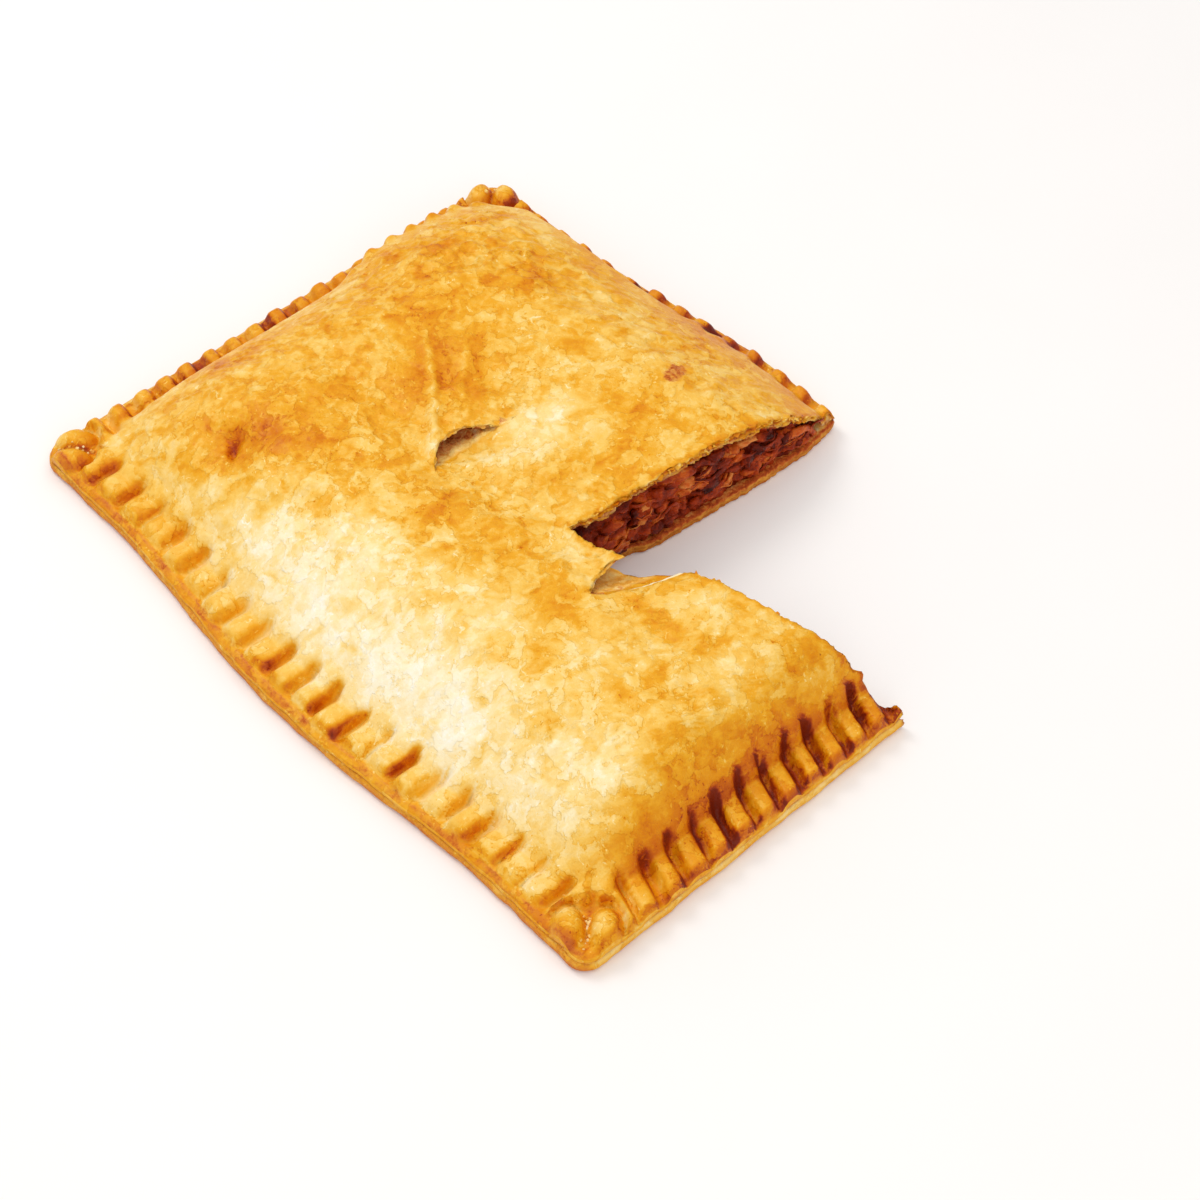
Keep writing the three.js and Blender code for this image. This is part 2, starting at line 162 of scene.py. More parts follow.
# Steam vents: slits between two tips, open where the far edge stands away from the near one.
# column is the grid line that the slit follows, and tips give (u, v) of its ends. open is the
# share of its length that gapes, far and near are how far the two edges stand back, and reach
# is how far the sheet gives way. curl lifts the far edge, dip lowers the near one, step is the
# near edge's own thickness, and behind it a tongue of dough runs on and drops.
VENTS = (
    dict(column=-18.0, tips=((-17.4, -19.3), (-18.9, 9.7)), far=7.6, near=0.6, reach=20,
         open=0.88, curl=0.7, dip=1.9, tongue=19.0, drop=3.2, step=0.0),
    dict(column=50.5, tips=((45.1, -22.7), (56.7, 8.1)), far=9.5, near=5.0, reach=24,
         open=1.0, curl=0.4, dip=2.0, tongue=25.0, drop=6.0, step=1.1),
)
for vent in VENTS:
    (vent["start_u"], vent["start"]), (vent["end_u"], vent["end"]) = vent["tips"]
    vent["middle_u"], vent["middle"] = (0.5 * (a + b) for a, b in zip(*vent["tips"]))
    vent["length"] = vent["end"] - vent["start"]

# The cuts run from the inner corner to end. across is the coordinate that they stray in, 0 for u
# and 1 for v, and stray tells how far from a straight line: place along the cut and distance.
# reach is where their faces show pieces of filling, and run and out point along and out of them.
INNER_CORNER = (23.1, -7.3)
CUTS = {
    "front": dict(
        across=1, end=(118.0, 27.0), seed=5, reach=(26.0, 92.0), run=(1.0, 0.361, 0),
        out=(-0.34, 0.94, 0),
        stray=((23, 0), (34, -2.6), (44, -3.6), (56, 0.6), (66, 0.3), (83, -1.9), (91, -2.2),
               (97, -1.2), (101, 0.0), (103.6, 0.5), (105, 2.6), (106, 0.3), (109, 0.8), (118, 0)),
    ),
    "back": dict(
        across=0, end=(30.5, 93.0), seed=25, reach=(-5.0, 76.0), run=(0.077, 1.0, 0),
        out=(1.0, -0.077, 0),
        stray=((-7.3, 0), (2.5, 1.3), (30, 1.6), (60, 2.2), (76, 1.4), (88, -1.5)),
    ),
}

# How browned regions of the top are: u, v, reach along each, and amount.
BROWNING_AND_PAINTED_SHEEN = (
    # The first two, over the pale front slope, are paler crust with a painted sheen on it.
    (0, -65, 60, 15, -0.20),
    (40, -62, 44, 18, -0.16),
    (-30, -60, 26, 12, -0.06),
    (5, -40, 30, 12, -0.08),
    (-8, 6, 10, 14, -0.16),
    (-13, 15, 8, 8, -0.12),
    (-88, 46, 34, 30, 0.08),
    (-45, 2, 10, 13, 0.11),
    (-30, 6, 9, 7, 0.13),
    (-58, 16, 14, 14, 0.08),
    (-28, -5, 3, 4, -0.14),
    (-60, -38, 28, 18, 0.12),
    (6, -28, 24, 11, 0.08),
    (-80, 20, 30, 34, 0.04),
    (10, 40, 16, 16, 0.04),
    (60, -11, 16, 4, 0.12),
    (45, -26, 12, 5, 0.07),
    (-65, -52, 13, 11, 0.17),
    (-67, -53, 6, 6, 0.10),
    (-98, -30, 12, 34, 0.12),
    (1.1, 50.0, 4.0, 5.5, 0.08),
    (6, 6, 12, 8, 0.07),
    (84, -30, 26, 44, -0.06),
    (92, -72, 24, 14, -0.05),
    (103, -40, 8, 60, 0.13),
    (-10, 78, 40, 9, 0.08),
)

PAINTED_FLANK_LIGHT = 0.06             # how much paler a slope of 1 that rises along u is painted: painted light facing the lamp, painted shade facing away
PAINTED_FRONT_LIGHT = 0.04             # and one that rises along v, painted the same way
BASE_TONE = 0.42             # of the plain golden crust

# ------------------------------------------------------------------ noise and curves


class Noise:
    """Repeatable gradient noise over the plane, mostly from -1 to 1."""

    def __init__(self, seed):
        rng = np.random.default_rng(seed)
        self.order = rng.permutation(256)
        angle = rng.uniform(0, 2 * math.pi, 256)
        self.slope = np.stack([np.cos(angle), np.sin(angle)])

    def once(self, x, y):
        x, y = np.broadcast_arrays(np.asarray(x, float), np.asarray(y, float))
        cell_x, cell_y = np.floor(x).astype(int), np.floor(y).astype(int)
        part_x, part_y = x - cell_x, y - cell_y

        def corner(step_x, step_y):
            pick = self.order[(self.order[(cell_x + step_x) & 255] + cell_y + step_y) & 255]
            return self.slope[0][pick] * (part_x - step_x) + self.slope[1][pick] * (part_y - step_y)

        fade_x, fade_y = (p * p * p * (p * (p * 6 - 15) + 10) for p in (part_x, part_y))
        low = corner(0, 0) + fade_x * (corner(1, 0) - corner(0, 0))
        high = corner(0, 1) + fade_x * (corner(1, 1) - corner(0, 1))
        return 1.6 * (low + fade_y * (high - low))

    def __call__(self, x, y, octaves=3, gain=0.5):
        total, weight, scale = 0.0, 1.0, 1.0
        for octave in range(octaves):
            total = total + weight * self.once(x * scale + 17.3 * octave, y * scale - 9.1 * octave)
            weight *= gain
            scale *= 2.03
        return total


def ramp(value, start, end):
    """0 up to start, 1 from end on, and smooth in between."""
    share = np.clip((np.asarray(value, float) - start) / (end - start), 0, 1)
    return share * share * (3 - 2 * share)


def bell(value, centre, reach):
    return np.exp(-(((value - centre) / reach) ** 2))


def spot(u, v, at_u, at_v, reach_u, reach_v, shrink=1.0):
    """A patch in plan: 1 in its middle, fading over its reach along u and v."""
    return np.exp(-shrink * (((u - at_u) / reach_u) ** 2 + ((v - at_v) / reach_v) ** 2))


def terrace(value, steps):
    """Turns a slope into flat treads with soft risers."""
    scaled = value * steps
    tread = np.floor(scaled)
    return (tread + ramp(scaled - tread, 0.3, 0.7)) / steps


broad_noise = Noise(1)
medium_noise = Noise(2)
warp_noise = Noise(3)
flake_noise = Noise(4)
wrinkle_noise = Noise(5)
edge_noise = Noise(6)
tear_noise = Noise(7)
tone_noise = Noise(8)
face_noise = Noise(9)

# ------------------------------------------------------------------ plan


def cut_line(name, along, tear=0.0, seed=0.0):
    """Where a cut runs at a place along it: v of the front one at u, or u of the back one at v."""
    cut = CUTS[name]
    across = cut["across"]
    start, base = INNER_CORNER[1 - across], INNER_CORNER[across]
    slope = (cut["end"][across] - base) / (cut["end"][1 - across] - start)
    torn = tear * ramp(along, start, start + 4) * tear_noise(along / 3.2, cut["seed"] + seed, 3, 0.6)
    return base + slope * (along - start) + np.interp(along, *zip(*cut["stray"])) + torn


def cut_place(name, along):
    """u and v of a place on a cut."""
    place = [along, along]
    place[CUTS[name]["across"]] = cut_line(name, along)
    return place


def insets(u, v):
    """Distances inwards from the four sides."""
    return dict(front=HALF_WIDTH + v, right=HALF_LENGTH - u, back=HALF_WIDTH - v, left=HALF_LENGTH + u)


def rim_depth(u, v):
    return np.minimum(HALF_LENGTH - np.abs(u), HALF_WIDTH - np.abs(v))


def bow_share(u, centre):
    return np.cos(math.pi * np.clip((u - centre) / BOW_SPAN, -0.5, 0.5)) ** 2


def to_plan(u, v, wave_seed=0.0):
    """The frame's x and y, in millimetres, of a place on the plain rectangle."""
    in_u, in_v = CORNER_ZONE - HALF_LENGTH + np.abs(u), CORNER_ZONE - HALF_WIDTH + np.abs(v)
    in_u, in_v = np.clip(in_u, 0, None), np.clip(in_v, 0, None)
    reach = np.hypot(in_u, in_v)
    share = np.where(reach > 1e-9, np.maximum(in_u, in_v) / np.maximum(reach, 1e-9), 1)
    u = np.sign(u) * (np.abs(u) - in_u * (1 - share))
    v = np.sign(v) * (np.abs(v) - in_v * (1 - share))
    near_u = 1 - ramp(HALF_LENGTH - np.abs(u), 0, 14)
    near_v = 1 - ramp(HALF_WIDTH - np.abs(v), 0, 14)
    wave_u = 0.35 * (1 + edge_noise(v / 11, 3.3 * np.sign(u) + wave_seed, 2))
    wave_v = 0.35 * (1 + edge_noise(u / 11, 7.7 * np.sign(v) + wave_seed, 2))
    bow = np.where(v < 0, FRONT_BOW * bow_share(u, 0), BACK_BOW * bow_share(u, BACK_BOW_CENTRE))
    x = u - np.sign(u) * near_u * wave_u
    y = v * (1 + bow / HALF_WIDTH) - np.sign(v) * near_v * wave_v + SHIFT_Y
    return x, y


def plan_points(u, v, z, wave_seed=0.0):
    """The frame's points over places in plan, at heights z."""
    return np.stack([*to_plan(u, v, wave_seed), z + 0 * u], -1)


# ------------------------------------------------------------------ heights of the top sheet

ridge_draws = {
    name: np.random.default_rng(40 + n).uniform(-1, 1, (5, RIDGE_DRAWS)) for n, name in enumerate(SIDES)
}


def ridge_number(side, along):
    """The number of the crimp ridge at a place along a side, with fractions in between."""
    run = along - side["first"]
    root = side["pitch"] ** 2 + 4 * side["taper"] * run
    return 2 * run / (side["pitch"] + np.sqrt(np.maximum(root, 0)))


def corner_lobes(u, v, near, other):
    """How far the two lobes beside a corner's groove take the ridges' place, and their own form.

    near and other are the distances from the nearest side and from the next one."""
    inset, along = (np.where(u < 0, *pair) for pair in (LOBE_INSET, LOBE_ALONG))
    along_groove = (near - inset + other - along) / math.sqrt(2)
    off_groove = (near - inset - other + along) / math.sqrt(2)
    off = np.hypot(along_groove / LOBE_STRETCH, off_groove) / LOBE_RADIUS
    lobe = np.maximum(1 - ramp(other, 12.5, 14.5), 1 - ramp(off, 1.02, 1.22))
    return lobe, np.clip(1 - off ** 2.8, 0, 1) * (1 - 0.22 * (u < 0) * (v < 0))


def rim_form(u, v):
    """The pressed rim and the pillow's climb from it.

    share is the pillow's height and valley that of the pits between the ridges, both from 0 to
    1. crest is how far the ridges rise, pitted is 1 where pits may be, and brown is how browned
    pressing and baking left the rim."""
    inset = insets(u, v)
    near, other = np.sort(np.stack([inset[name] for name in SIDES]), axis=0)[:2]
    lobe, rounded = corner_lobes(u, v, near, other)
    form = {name: np.zeros_like(u) for name in ("crest", "valley", "pitted", "brown")}
    share = 1.0
    for name, side in SIDES.items():
        depth = inset[name]
        along, half_run = (u, HALF_LENGTH) if name in ("front", "back") else (v, HALF_WIDTH)
        corner = 1 - ramp(half_run - np.abs(along), 8, 26)
        foot = side["foot"] - (3.8 * ramp(along, 10, 34) if name == "left" else 0)
        foot = foot + (CORNER_FOOT - foot) * corner
        climb = np.clip((depth - foot) / (side["shoulder"] - foot), 0, 1)
        rise = 1 - (1 - climb) ** PILLOW_POWER
        wall = side["wall"] * wall_stray(name, along) * ramp(depth, foot - 0.5, foot + WALL_WIDTH)
        share = share * (rise + (1 - rise) * wall)

        turns = ridge_number(side, along - side["lean"] * (depth - LEAN_PIVOT))
        number = np.round(turns)
        shift, width, tall, reach = ridge_draws[name][:4, number.astype(int) % RIDGE_DRAWS]
        burnt = 1 + side["spread"] * ridge_draws[name][4, np.floor(turns).astype(int) % RIDGE_DRAWS]
        half = side["half"] * side["pitch"] * (1 + 0.12 * width)
        across = (turns - number - 0.06 * shift) * side["pitch"]
        start = side["strip"] + 0.6 * reach
        inner = side["inner"] + (CORNER_INNER - side["inner"]) * corner + 0.8 * reach
        past_end = np.maximum(start + 0.8 * half - depth, 0) / 0.8
        off = (across ** 4 + past_end ** 4) ** 0.25 / half
        middle = side["first"] + side["pitch"] * number + side["taper"] * number ** 2
        ridge = np.clip(1 - off ** side["edge"], 0, 1) * (half_run - np.abs(middle) > LOBE_CLEAR)
        ridge = ridge + (rounded - ridge) * lobe
        crest = ridge * (1 - ramp(depth, inner - 3.5, inner + 3)) * (1 + 0.16 * tall) * side["high"]
        crest = crest + (LOBE_HEIGHT * rounded - crest) * lobe
        pitted = 1 - ramp(depth, inner - 1.5, inner + 1.8)
        valley = (1 - ridge) * ramp(depth, start - 0.3, start + 2.2) * pitted
        blotch = np.clip(0.9 + 0.45 * tone_noise(along / 6.5, depth / 9 + 3, 2), 0.5, 1.25)
        brown = side["pit"] * ramp(valley, 0.04, 0.35) * blotch * np.maximum(burnt, 0.1)
        brown = brown * (0.45 + 0.55 * ramp(other - near, 10, 45))
        brown = brown + side["crest"] * crest / side["high"] * (1 - 0.8 * lobe)
        brown = brown + 0.12 * (1 - ramp(depth, start - 1, start + 2))
        mine = depth <= near + 1e-9
        for key, value in dict(crest=crest, valley=valley, pitted=pitted, brown=brown).items():
            form[key] = np.where(mine, value, form[key])
    form["share"] = share
    return form


def wall_stray(name, along):
    """How the pillow's wall varies along a side."""
    if name == "left":
        return 0.75 + 0.5 * ramp(along, 8, 38)
    if name == "back":
        return 1.05 - 0.60 * ramp(along, -75, -25)
    return 1.0


def pillow(u, v, share):
    """Height of the pillow where it has climbed to that share."""
    top = DOME_TOP + sum(rise * spot(u, v, *place) for *place, rise in SWELLS)
    return RIM_TOP + (top - RIM_TOP) * share


def folds(u, v):
    """Rise of all folds, and how much paler their crests make the crust."""
    total, pale = 0.0, 0.0
    for start, end, width, rise, paler in FOLDS:
        run = np.subtract(end, start)
        length = np.hypot(*run)
        along = ((u - start[0]) * run[0] + (v - start[1]) * run[1]) / length
        across = ((v - start[1]) * run[0] - (u - start[0]) * run[1]) / length
        width = width * (1.35 - 0.7 * np.clip(along / length, 0, 1)) if width < 3 else width
        across = across + (0.3 * width + 0.9) * warp_noise(along / 8, across / 9, 2)
        ends = ramp(along, -0.15 * length, 0.2 * length) * (1 - ramp(along, 0.8 * length, 1.15 * length))
        total = total + rise * ends * bell(across, 0, width)
        worn = paler * (0.8 + 0.5 * warp_noise(along / 5, 3, 2)) * ends
        pale = pale + worn * (bell(across, 0, 0.8 * width) - 0.4 * bell(across, 0, 3.4 * width))
    return total, pale


def flaking(u, v):
    """The baked top's flakes, chips and golden pools, from 0 to 1, and its cracks."""
    bent_u = u + 3.5 * warp_noise(u / 13, v / 13, 3)
    bent_v = v + 3.5 * warp_noise(u / 13 + 40, v / 13, 3)
    flakes = ramp(flake_noise(bent_u / 8.5, bent_v / 7, 4, 0.6), -0.10, 0.14)
    chips = ramp(medium_noise(bent_u / 3.4, bent_v / 3.4, 3, 0.6), -0.02, 0.2)
    pools = ramp(tone_noise(bent_u / 8 + 50, bent_v / 8, 4, 0.6), 0.05, 0.6)
    lines = np.abs(wrinkle_noise(bent_u / 7, bent_v / 7, 3))
    cracks = np.clip(1 - lines / 0.07, 0, 1) * ramp(broad_noise(u / 12 + 9, v / 12, 2), -0.1, 0.3)
    return flakes, chips, pools, cracks


def relief(u, v):
    """Blisters, flakes and wrinkles of the baked top, faded out on the rim."""
    inside = ramp(rim_depth(u, v), 9, 22)
    flakes, chips, _, cracks = flaking(u, v)
    broad = 0.75 * broad_noise(u / 24, v / 24, 2)
    medium = 0.42 * medium_noise(u / 9 + 30, v / 9, 3)
    crinkled = 0.35 + 1.1 * spot(u, v, -74, 42, 26, 22)
    wrinkles = crinkled * 0.8 * np.clip(1 - 3.2 * np.abs(wrinkle_noise(u / 8, v / 8 + 5, 2)), 0, 1)
    fine = 0.1 * flake_noise(u / 2.2, v / 2.2, 2)
    total = broad + medium + 0.34 * flakes + 0.16 * chips - 0.3 * cracks + wrinkles + folds(u, v)[0]
    return inside * total + (0.3 + 0.7 * inside) * fine


def sheet_z(u, v):
    """Heights of the top sheet's upper side and underside."""
    form = rim_form(u, v)
    smooth = pillow(u, v, form["share"])
    rough = relief(u, v)
    depth = rim_depth(u, v)
    edge = 0.8 * (1 - ramp(depth, SHEET_INSET, 2.4))
    pit = 0.7 * (smooth - RIM_TOP) * form["pitted"]
    upper = smooth + rough + form["crest"] - (pit + 0.5) * form["valley"] - edge
    sheet = RIM_SHEET + (CRUST - RIM_SHEET) * ramp(depth, 12, 30)
    sheet = sheet * (1 - 0.35 * near_cuts(u, v)) * (1 - 0.72 * near_vents(u, v))
    under = np.maximum(SEAL_Z, smooth + rough - sheet - pit)
    upper = np.maximum(upper, under + 0.5)
    return tuple(np.where(z > SOFT_TOP, SOFT_TOP + 0.45 * (z - SOFT_TOP), z) for z in (upper, under))


def near_cuts(u, v):
    """1 on the cuts, fading away from them."""
    front = np.where(u > INNER_CORNER[0], np.abs(v - cut_line("front", u)), 99)
    back = np.where(v > INNER_CORNER[1], np.abs(u - cut_line("back", v)), 99)
    return 1 - ramp(np.minimum(front, back), 0, 6)


def near_vents(u, v):
    """1 along the vents' lips, fading away from them."""
    total = 0.0
    for vent in VENTS:
        off_u = u - vent["middle_u"] - 0.5 * (vent["near"] - vent["far"])
        reach_u = 0.5 * (vent["near"] + vent["far"]) + 4
        off = np.hypot(off_u / reach_u, (v - vent["middle"]) / (0.5 * vent["length"] + 3))
        total = np.maximum(total, 1 - ramp(off, 0.75, 1.25))
    return total


def top_z(u, v):
    return sheet_z(u, v)[0]


def under_z(u, v):
    return sheet_z(u, v)[1]


def browning_and_painted_light(u, v):
    """How much darker than the plain golden crust a place of the top is coloured: browning, painted light
    and shade on its flanks, and a painted sheen on the front slope.
    """
    inside = ramp(rim_depth(u, v), 8, 20)
    flakes, chips, pools, cracks = flaking(u, v)
    calm = 1 - 0.8 * spot(u, v, -44, 6, 17, 20)
    mottled = 0.09 * (pools - 0.2) - 0.05 * (flakes - 0.5) - 0.03 * (chips - 0.5) + 0.08 * cracks
    total = 0.018 + rim_form(u, v)["brown"] + inside * (calm * mottled - folds(u, v)[1])
    total = total + (0.3 + 0.7 * calm) * 0.07 * tone_noise(u / 22, v / 22, 3)
    total = total + 0.10 * ramp(near_cuts(u, v), 0.75, 0.97)
    here, step = top_z(u, v), 0.5
    slope_u = np.clip((top_z(u + step, v) - here) / step, -2, 2)
    slope_v = np.clip((top_z(u, v + step) - here) / step, -2, 2)
    # Painted light and shade: flanks that face the key light are coloured paler and those facing away
    # darker, most of all on the rim.
    painted_flank_light = (2.2 - 1.2 * inside) * PAINTED_FLANK_LIGHT * slope_u + PAINTED_FRONT_LIGHT * slope_v
    total = total - np.clip(painted_flank_light, -0.16, 0.13)
    for *place, amount in BROWNING_AND_PAINTED_SHEEN:
        stray = 1 + 0.25 * tone_noise(u / 6 + place[0], v / 6, 2)
        total = total + amount * spot(u, v, *place, stray)
    return total


# ------------------------------------------------------------------ meshes


def add_object(name, data):
    made = bpy.data.objects.new(name, data)
    bpy.context.scene.collection.objects.link(made)
    return made


class Builder:
    """Collects points, values kept with them and faces, and makes one object."""

    VALUES = ("bake", "inner", "stain")

    def __init__(self):
        self.points = []
        self.values = {name: [] for name in self.VALUES}
        self.plain = []
        self.faces = []
        self.count = 0

    def add(self, points, uv=None, **values):
        """Adds an array of points, with their u and v, and returns their numbers in its shape."""
        points = np.asarray(points, float)
        shape = points.shape[:-1]
        plain = points[..., :2] if uv is None else np.stack([np.broadcast_to(a, shape) for a in uv], -1)
        self.plain.append(plain.reshape(-1, 2))
        numbers = np.arange(self.count, self.count + int(np.prod(shape))).reshape(shape)
        self.points.append(points.reshape(-1, 3))
        for name in self.VALUES:
            self.values[name].append(np.broadcast_to(values.get(name, 0.0), shape).ravel())
        self.count += numbers.size
        return numbers

    def place(self, numbers):
        return np.concatenate(self.points)[numbers]

    def grid(self, numbers, flip=False):
        """Quads between neighbours of a two-way array of numbers. -1 marks a missing point."""
        quads = np.stack([numbers[:-1, :-1], numbers[1:, :-1], numbers[1:, 1:], numbers[:-1, 1:]], -1)
        quads = quads.reshape(-1, 4)
        quads = quads[(quads >= 0).all(1)]
        self.faces.extend(quads[:, ::-1].tolist() if flip else quads.tolist())

    def wall(self, rows):
        """Faces between rows of a closed loop, the first one on top."""
        self.grid(np.concatenate([rows, rows[:, :1]], 1))

    def zip(self, upper, lower):
        """Triangles between two open lines that start and end side by side."""
        points = np.concatenate(self.points)
        i, j = 0, 0
        while i < len(upper) - 1 or j < len(lower) - 1:
            last_i, last_j = i == len(upper) - 1, j == len(lower) - 1
            step_upper = last_j
            if not last_i and not last_j:
                to_upper = np.sum((points[upper[i + 1]] - points[lower[j]]) ** 2)
                to_lower = np.sum((points[upper[i]] - points[lower[j + 1]]) ** 2)
                step_upper = to_upper <= to_lower
            if step_upper:
                self.faces.append([upper[i], lower[j], upper[i + 1]])
                i += 1
            else:
                self.faces.append([upper[i], lower[j], lower[j + 1]])
                j += 1

    def make(self, name, material, weld=True):
        """The finished object, riding on the part's only body. Welding joins equal points."""
        points = np.concatenate(self.points)
        first = same = np.arange(len(points))
        if weld:
            _, first, same = np.unique(np.round(points, 4), axis=0, return_index=True, return_inverse=True)
        faces = []
        for face in self.faces:
            kept = list(dict.fromkeys(int(same[n]) for n in face))
            if len(kept) > 2:
                faces.append(kept)
        mesh = bpy.data.meshes.new(name)
        mesh.from_pydata((points[first] * MM).tolist(), [], faces)
        for value in self.VALUES:
            stored = mesh.attributes.new(value, "FLOAT", "POINT")
            stored.data.foreach_set("value", np.concatenate(self.values[value])[first].astype(np.float32))
        mesh.shade_smooth()
        mesh.materials.append(material)
        piece = add_object(name, mesh)
        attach(piece, "root")
        return piece


def loop_outward(points):
    """Plan directions out of a closed counterclockwise loop."""
    ahead = np.roll(points, -2, 0) - np.roll(points, 2, 0)
    outward = np.stack([ahead[:, 1], -ahead[:, 0]], -1)
    return outward / np.maximum(np.linalg.norm(outward, axis=1, keepdims=True), 1e-9)


def run_along(points):
    """Distance travelled along a loop up to each of its points."""
    steps = np.linalg.norm(np.diff(points[:, :2], axis=0), axis=1)
    return np.concatenate([[0], np.cumsum(steps)])


def smooth_loop(values, reach):
    """Running average of the values round a loop, over that many neighbours to both sides."""
    spread = np.ones(2 * reach + 1) / (2 * reach + 1)
    return np.convolve(np.pad(values, reach, "wrap"), spread, "valid")


def stand_out(loop, stand, z):
    """Rows of points that stand out of a loop in plan by that much, at heights z."""
    moved = loop + loop_outward(loop) * stand[..., None]
    return np.concatenate([moved, z[..., None]], -1)


def stations(anchors, fine_places, fine, coarse):
    """Grid lines through all anchors, close together near the fine places."""
    places = [anchors[0]]
    for start, end in zip(anchors, anchors[1:]):
        p = np.linspace(start, end, 1000)
        nearest = np.min([np.abs(p - place) for place in fine_places], axis=0)
        density = 1 / (fine + (coarse - fine) * ramp(nearest, 12, 26))
        total = np.concatenate([[0], np.cumsum(0.5 * (density[1:] + density[:-1]) * np.diff(p))])
        count = max(1, round(total[-1]))
        places.extend(np.interp(np.linspace(0, total[-1], count + 1)[1:], total, p))
    return np.array(places)


# ------------------------------------------------------------------ the top sheet


def vent_opening(vent, v):
    """How far open a vent is at v, from 0 at its tips to 1 in its middle."""
    share = np.clip((v - vent["start"]) / vent["length"] / vent["open"], 0, 1)
    return np.sin(math.pi * share ** vent["open"])


def part_vent(vent, u, v, near_side):
    """Moves u so that the grid follows a vent's slit and stands back from its opening."""
    share = np.clip((v - vent["start"]) / vent["length"], 0, 1)
    beyond = np.maximum(vent["start"] - v, 0) + np.maximum(v - vent["end"], 0)
    off = np.abs(u - vent["column"])
    slit = vent["start_u"] + (vent["end_u"] - vent["start_u"]) * share - vent["column"]
    slit = slit * (1 - ramp(off, 4, 26)) * (1 - ramp(beyond, 0, 22))
    apart = np.where(near_side, vent["near"], -vent["far"]) * vent_opening(vent, v)
    return u + slit + apart * (1 - ramp(off, 0, vent["reach"]))


def vent_height(vent, off, v, near_side):
    """Curl of the far lip and dip of the near one, at a distance off from the slit."""
    curl = vent["curl"] * bell(off, 0, 4)
    dip = -vent["dip"] * np.exp(-np.maximum(off, 0) / 5)
    return vent_opening(vent, v) * np.where(near_side, dip, curl)


def follow_cuts(u, v, tear):
    """Stretches the grid so that its inner edges run along the torn cuts."""
    corner_u, corner_v = INNER_CORNER
    front = (cut_line("front", u, tear) + HALF_WIDTH) / (corner_v + HALF_WIDTH)
    new_v = np.where((u > corner_u) & (v <= corner_v + 1e-6), (v + HALF_WIDTH) * front - HALF_WIDTH, v)
    back = (cut_line("back", v, tear) + HALF_LENGTH) / (corner_u + HALF_LENGTH)
    new_u = np.where(v > corner_v, (u + HALF_LENGTH) * back - HALF_LENGTH, u)
    return new_u, new_v


def ridge_lean(u, v):
    """How far grid lines shift along the right side to run along its leaning ridges."""
    depth = HALF_LENGTH - u
    share = (v + HALF_WIDTH) / (INNER_CORNER[1] + HALF_WIDTH)
    lean = (SIDES["right"]["lean"] + 0.36 * share) / (1 + 0.43 * share)
    fade = ramp(v, -HALF_WIDTH + 4, -HALF_WIDTH + 24) * (1 - ramp(v, -19, INNER_CORNER[1]))
    return lean * (depth - LEAN_PIVOT) * (1 - ramp(depth, 13, 32)) * fade * (v < INNER_CORNER[1])


def nearest(line, place):
    return int(np.argmin(np.abs(line - place)))


class SheetGrid:
    """The top sheet's plan as a grid with slits for the vents, on one set of stations."""

    def __init__(self, us, vs):
        self.corner = nearest(us, INNER_CORNER[0]), nearest(vs, INNER_CORNER[1])
        self.vents = []
        for vent in VENTS:
            column = nearest(us, vent["column"])
            low, high = nearest(vs, vent["start"]), nearest(vs, vent["end"])
            if column > self.corner[0]:
                high = self.corner[1]
            self.vents.append((vent, column, (low, high)))
        self.u, self.v = np.meshgrid(us, vs, indexing="ij")
        self.v = self.v + ridge_lean(self.u, self.v)
        self.rise = np.zeros_like(self.u)
        self.near_lips = []
        for vent, column, (low, high) in self.vents:
            lip_u, lip_v = self.u[column, low:high + 1], self.v[column, low:high + 1]
            lip_rise = vent_height(vent, 0.0, lip_v, True)
            self.near_lips.append((part_vent(vent, lip_u, lip_v, True), lip_v, lip_rise))
            near_side = np.arange(len(us))[:, None] > column
            self.u = part_vent(vent, self.u, self.v, near_side)
            self.rise = self.rise + vent_height(vent, us[:, None] - vent["column"], self.v, near_side)

    def lay(self, builder, tear, height_at, flip, value_at):
        """Adds the grid's points and faces, and keeps their numbers."""

        def put(u, v, rise):
            u, v = follow_cuts(u, v, tear)
            return builder.add(plan_points(u, v, height_at(u, v) + rise), (u, v), **value_at(u, v))

        inside = np.ones(self.u.shape, bool)
        inside[self.corner[0] + 1:, self.corner[1] + 1:] = False
        self.numbers = np.full(self.u.shape, -1)
        self.numbers[inside] = put(self.u[inside], self.v[inside], self.rise[inside])
        self.lips = [put(*near_lip) for near_lip in self.near_lips]
        for lip, (_, column, (low, high)) in zip(self.lips, self.vents):
            lip[0] = self.numbers[column, low]
            if high != self.corner[1] or column < self.corner[0]:
                lip[-1] = self.numbers[column, high]
        columns = [0, *(column for _, column, _ in self.vents), len(self.numbers) - 1]
        for n, (start, end) in enumerate(zip(columns, columns[1:])):
            block = self.numbers[start:end + 1].copy()
            if n:
                _, _, (low, high) = self.vents[n - 1]
                block[0, low:high + 1] = self.lips[n - 1]
            builder.grid(block, flip)

    def outline(self, tongues):
        """The outer edge as segments of point numbers, counterclockwise, with vent 2's slit."""
        n, (corner_u, corner_v) = self.numbers, self.corner
        _, column, (low, high) = self.vents[1]
        segments = [
            n[:, 0],
            n[-1, :corner_v + 1],
            np.append(n[column + 1:, corner_v][::-1], self.lips[1][-1]),
        ]
        if tongues is not None:
            segments.append(tongues[1][:, -1])
            segments.append(tongues[1][-1][::-1])
        else:
            segments.append(self.lips[1][::-1])
        segments += [
            n[column, low:high + 1],
            n[corner_u:column + 1, corner_v][::-1],
            n[corner_u, corner_v:],
            n[:corner_u + 1, -1][::-1],
            n[0][::-1],
        ]
        return segments

    def hole(self, tongues):
        """The middle vent's edge as segments, counterclockwise round the sheet's material."""
        _, column, (low, high) = self.vents[0]
        near = self.lips[0] if tongues is None else tongues[0][-1]
        return [self.numbers[column, low:high + 1], near[::-1]]


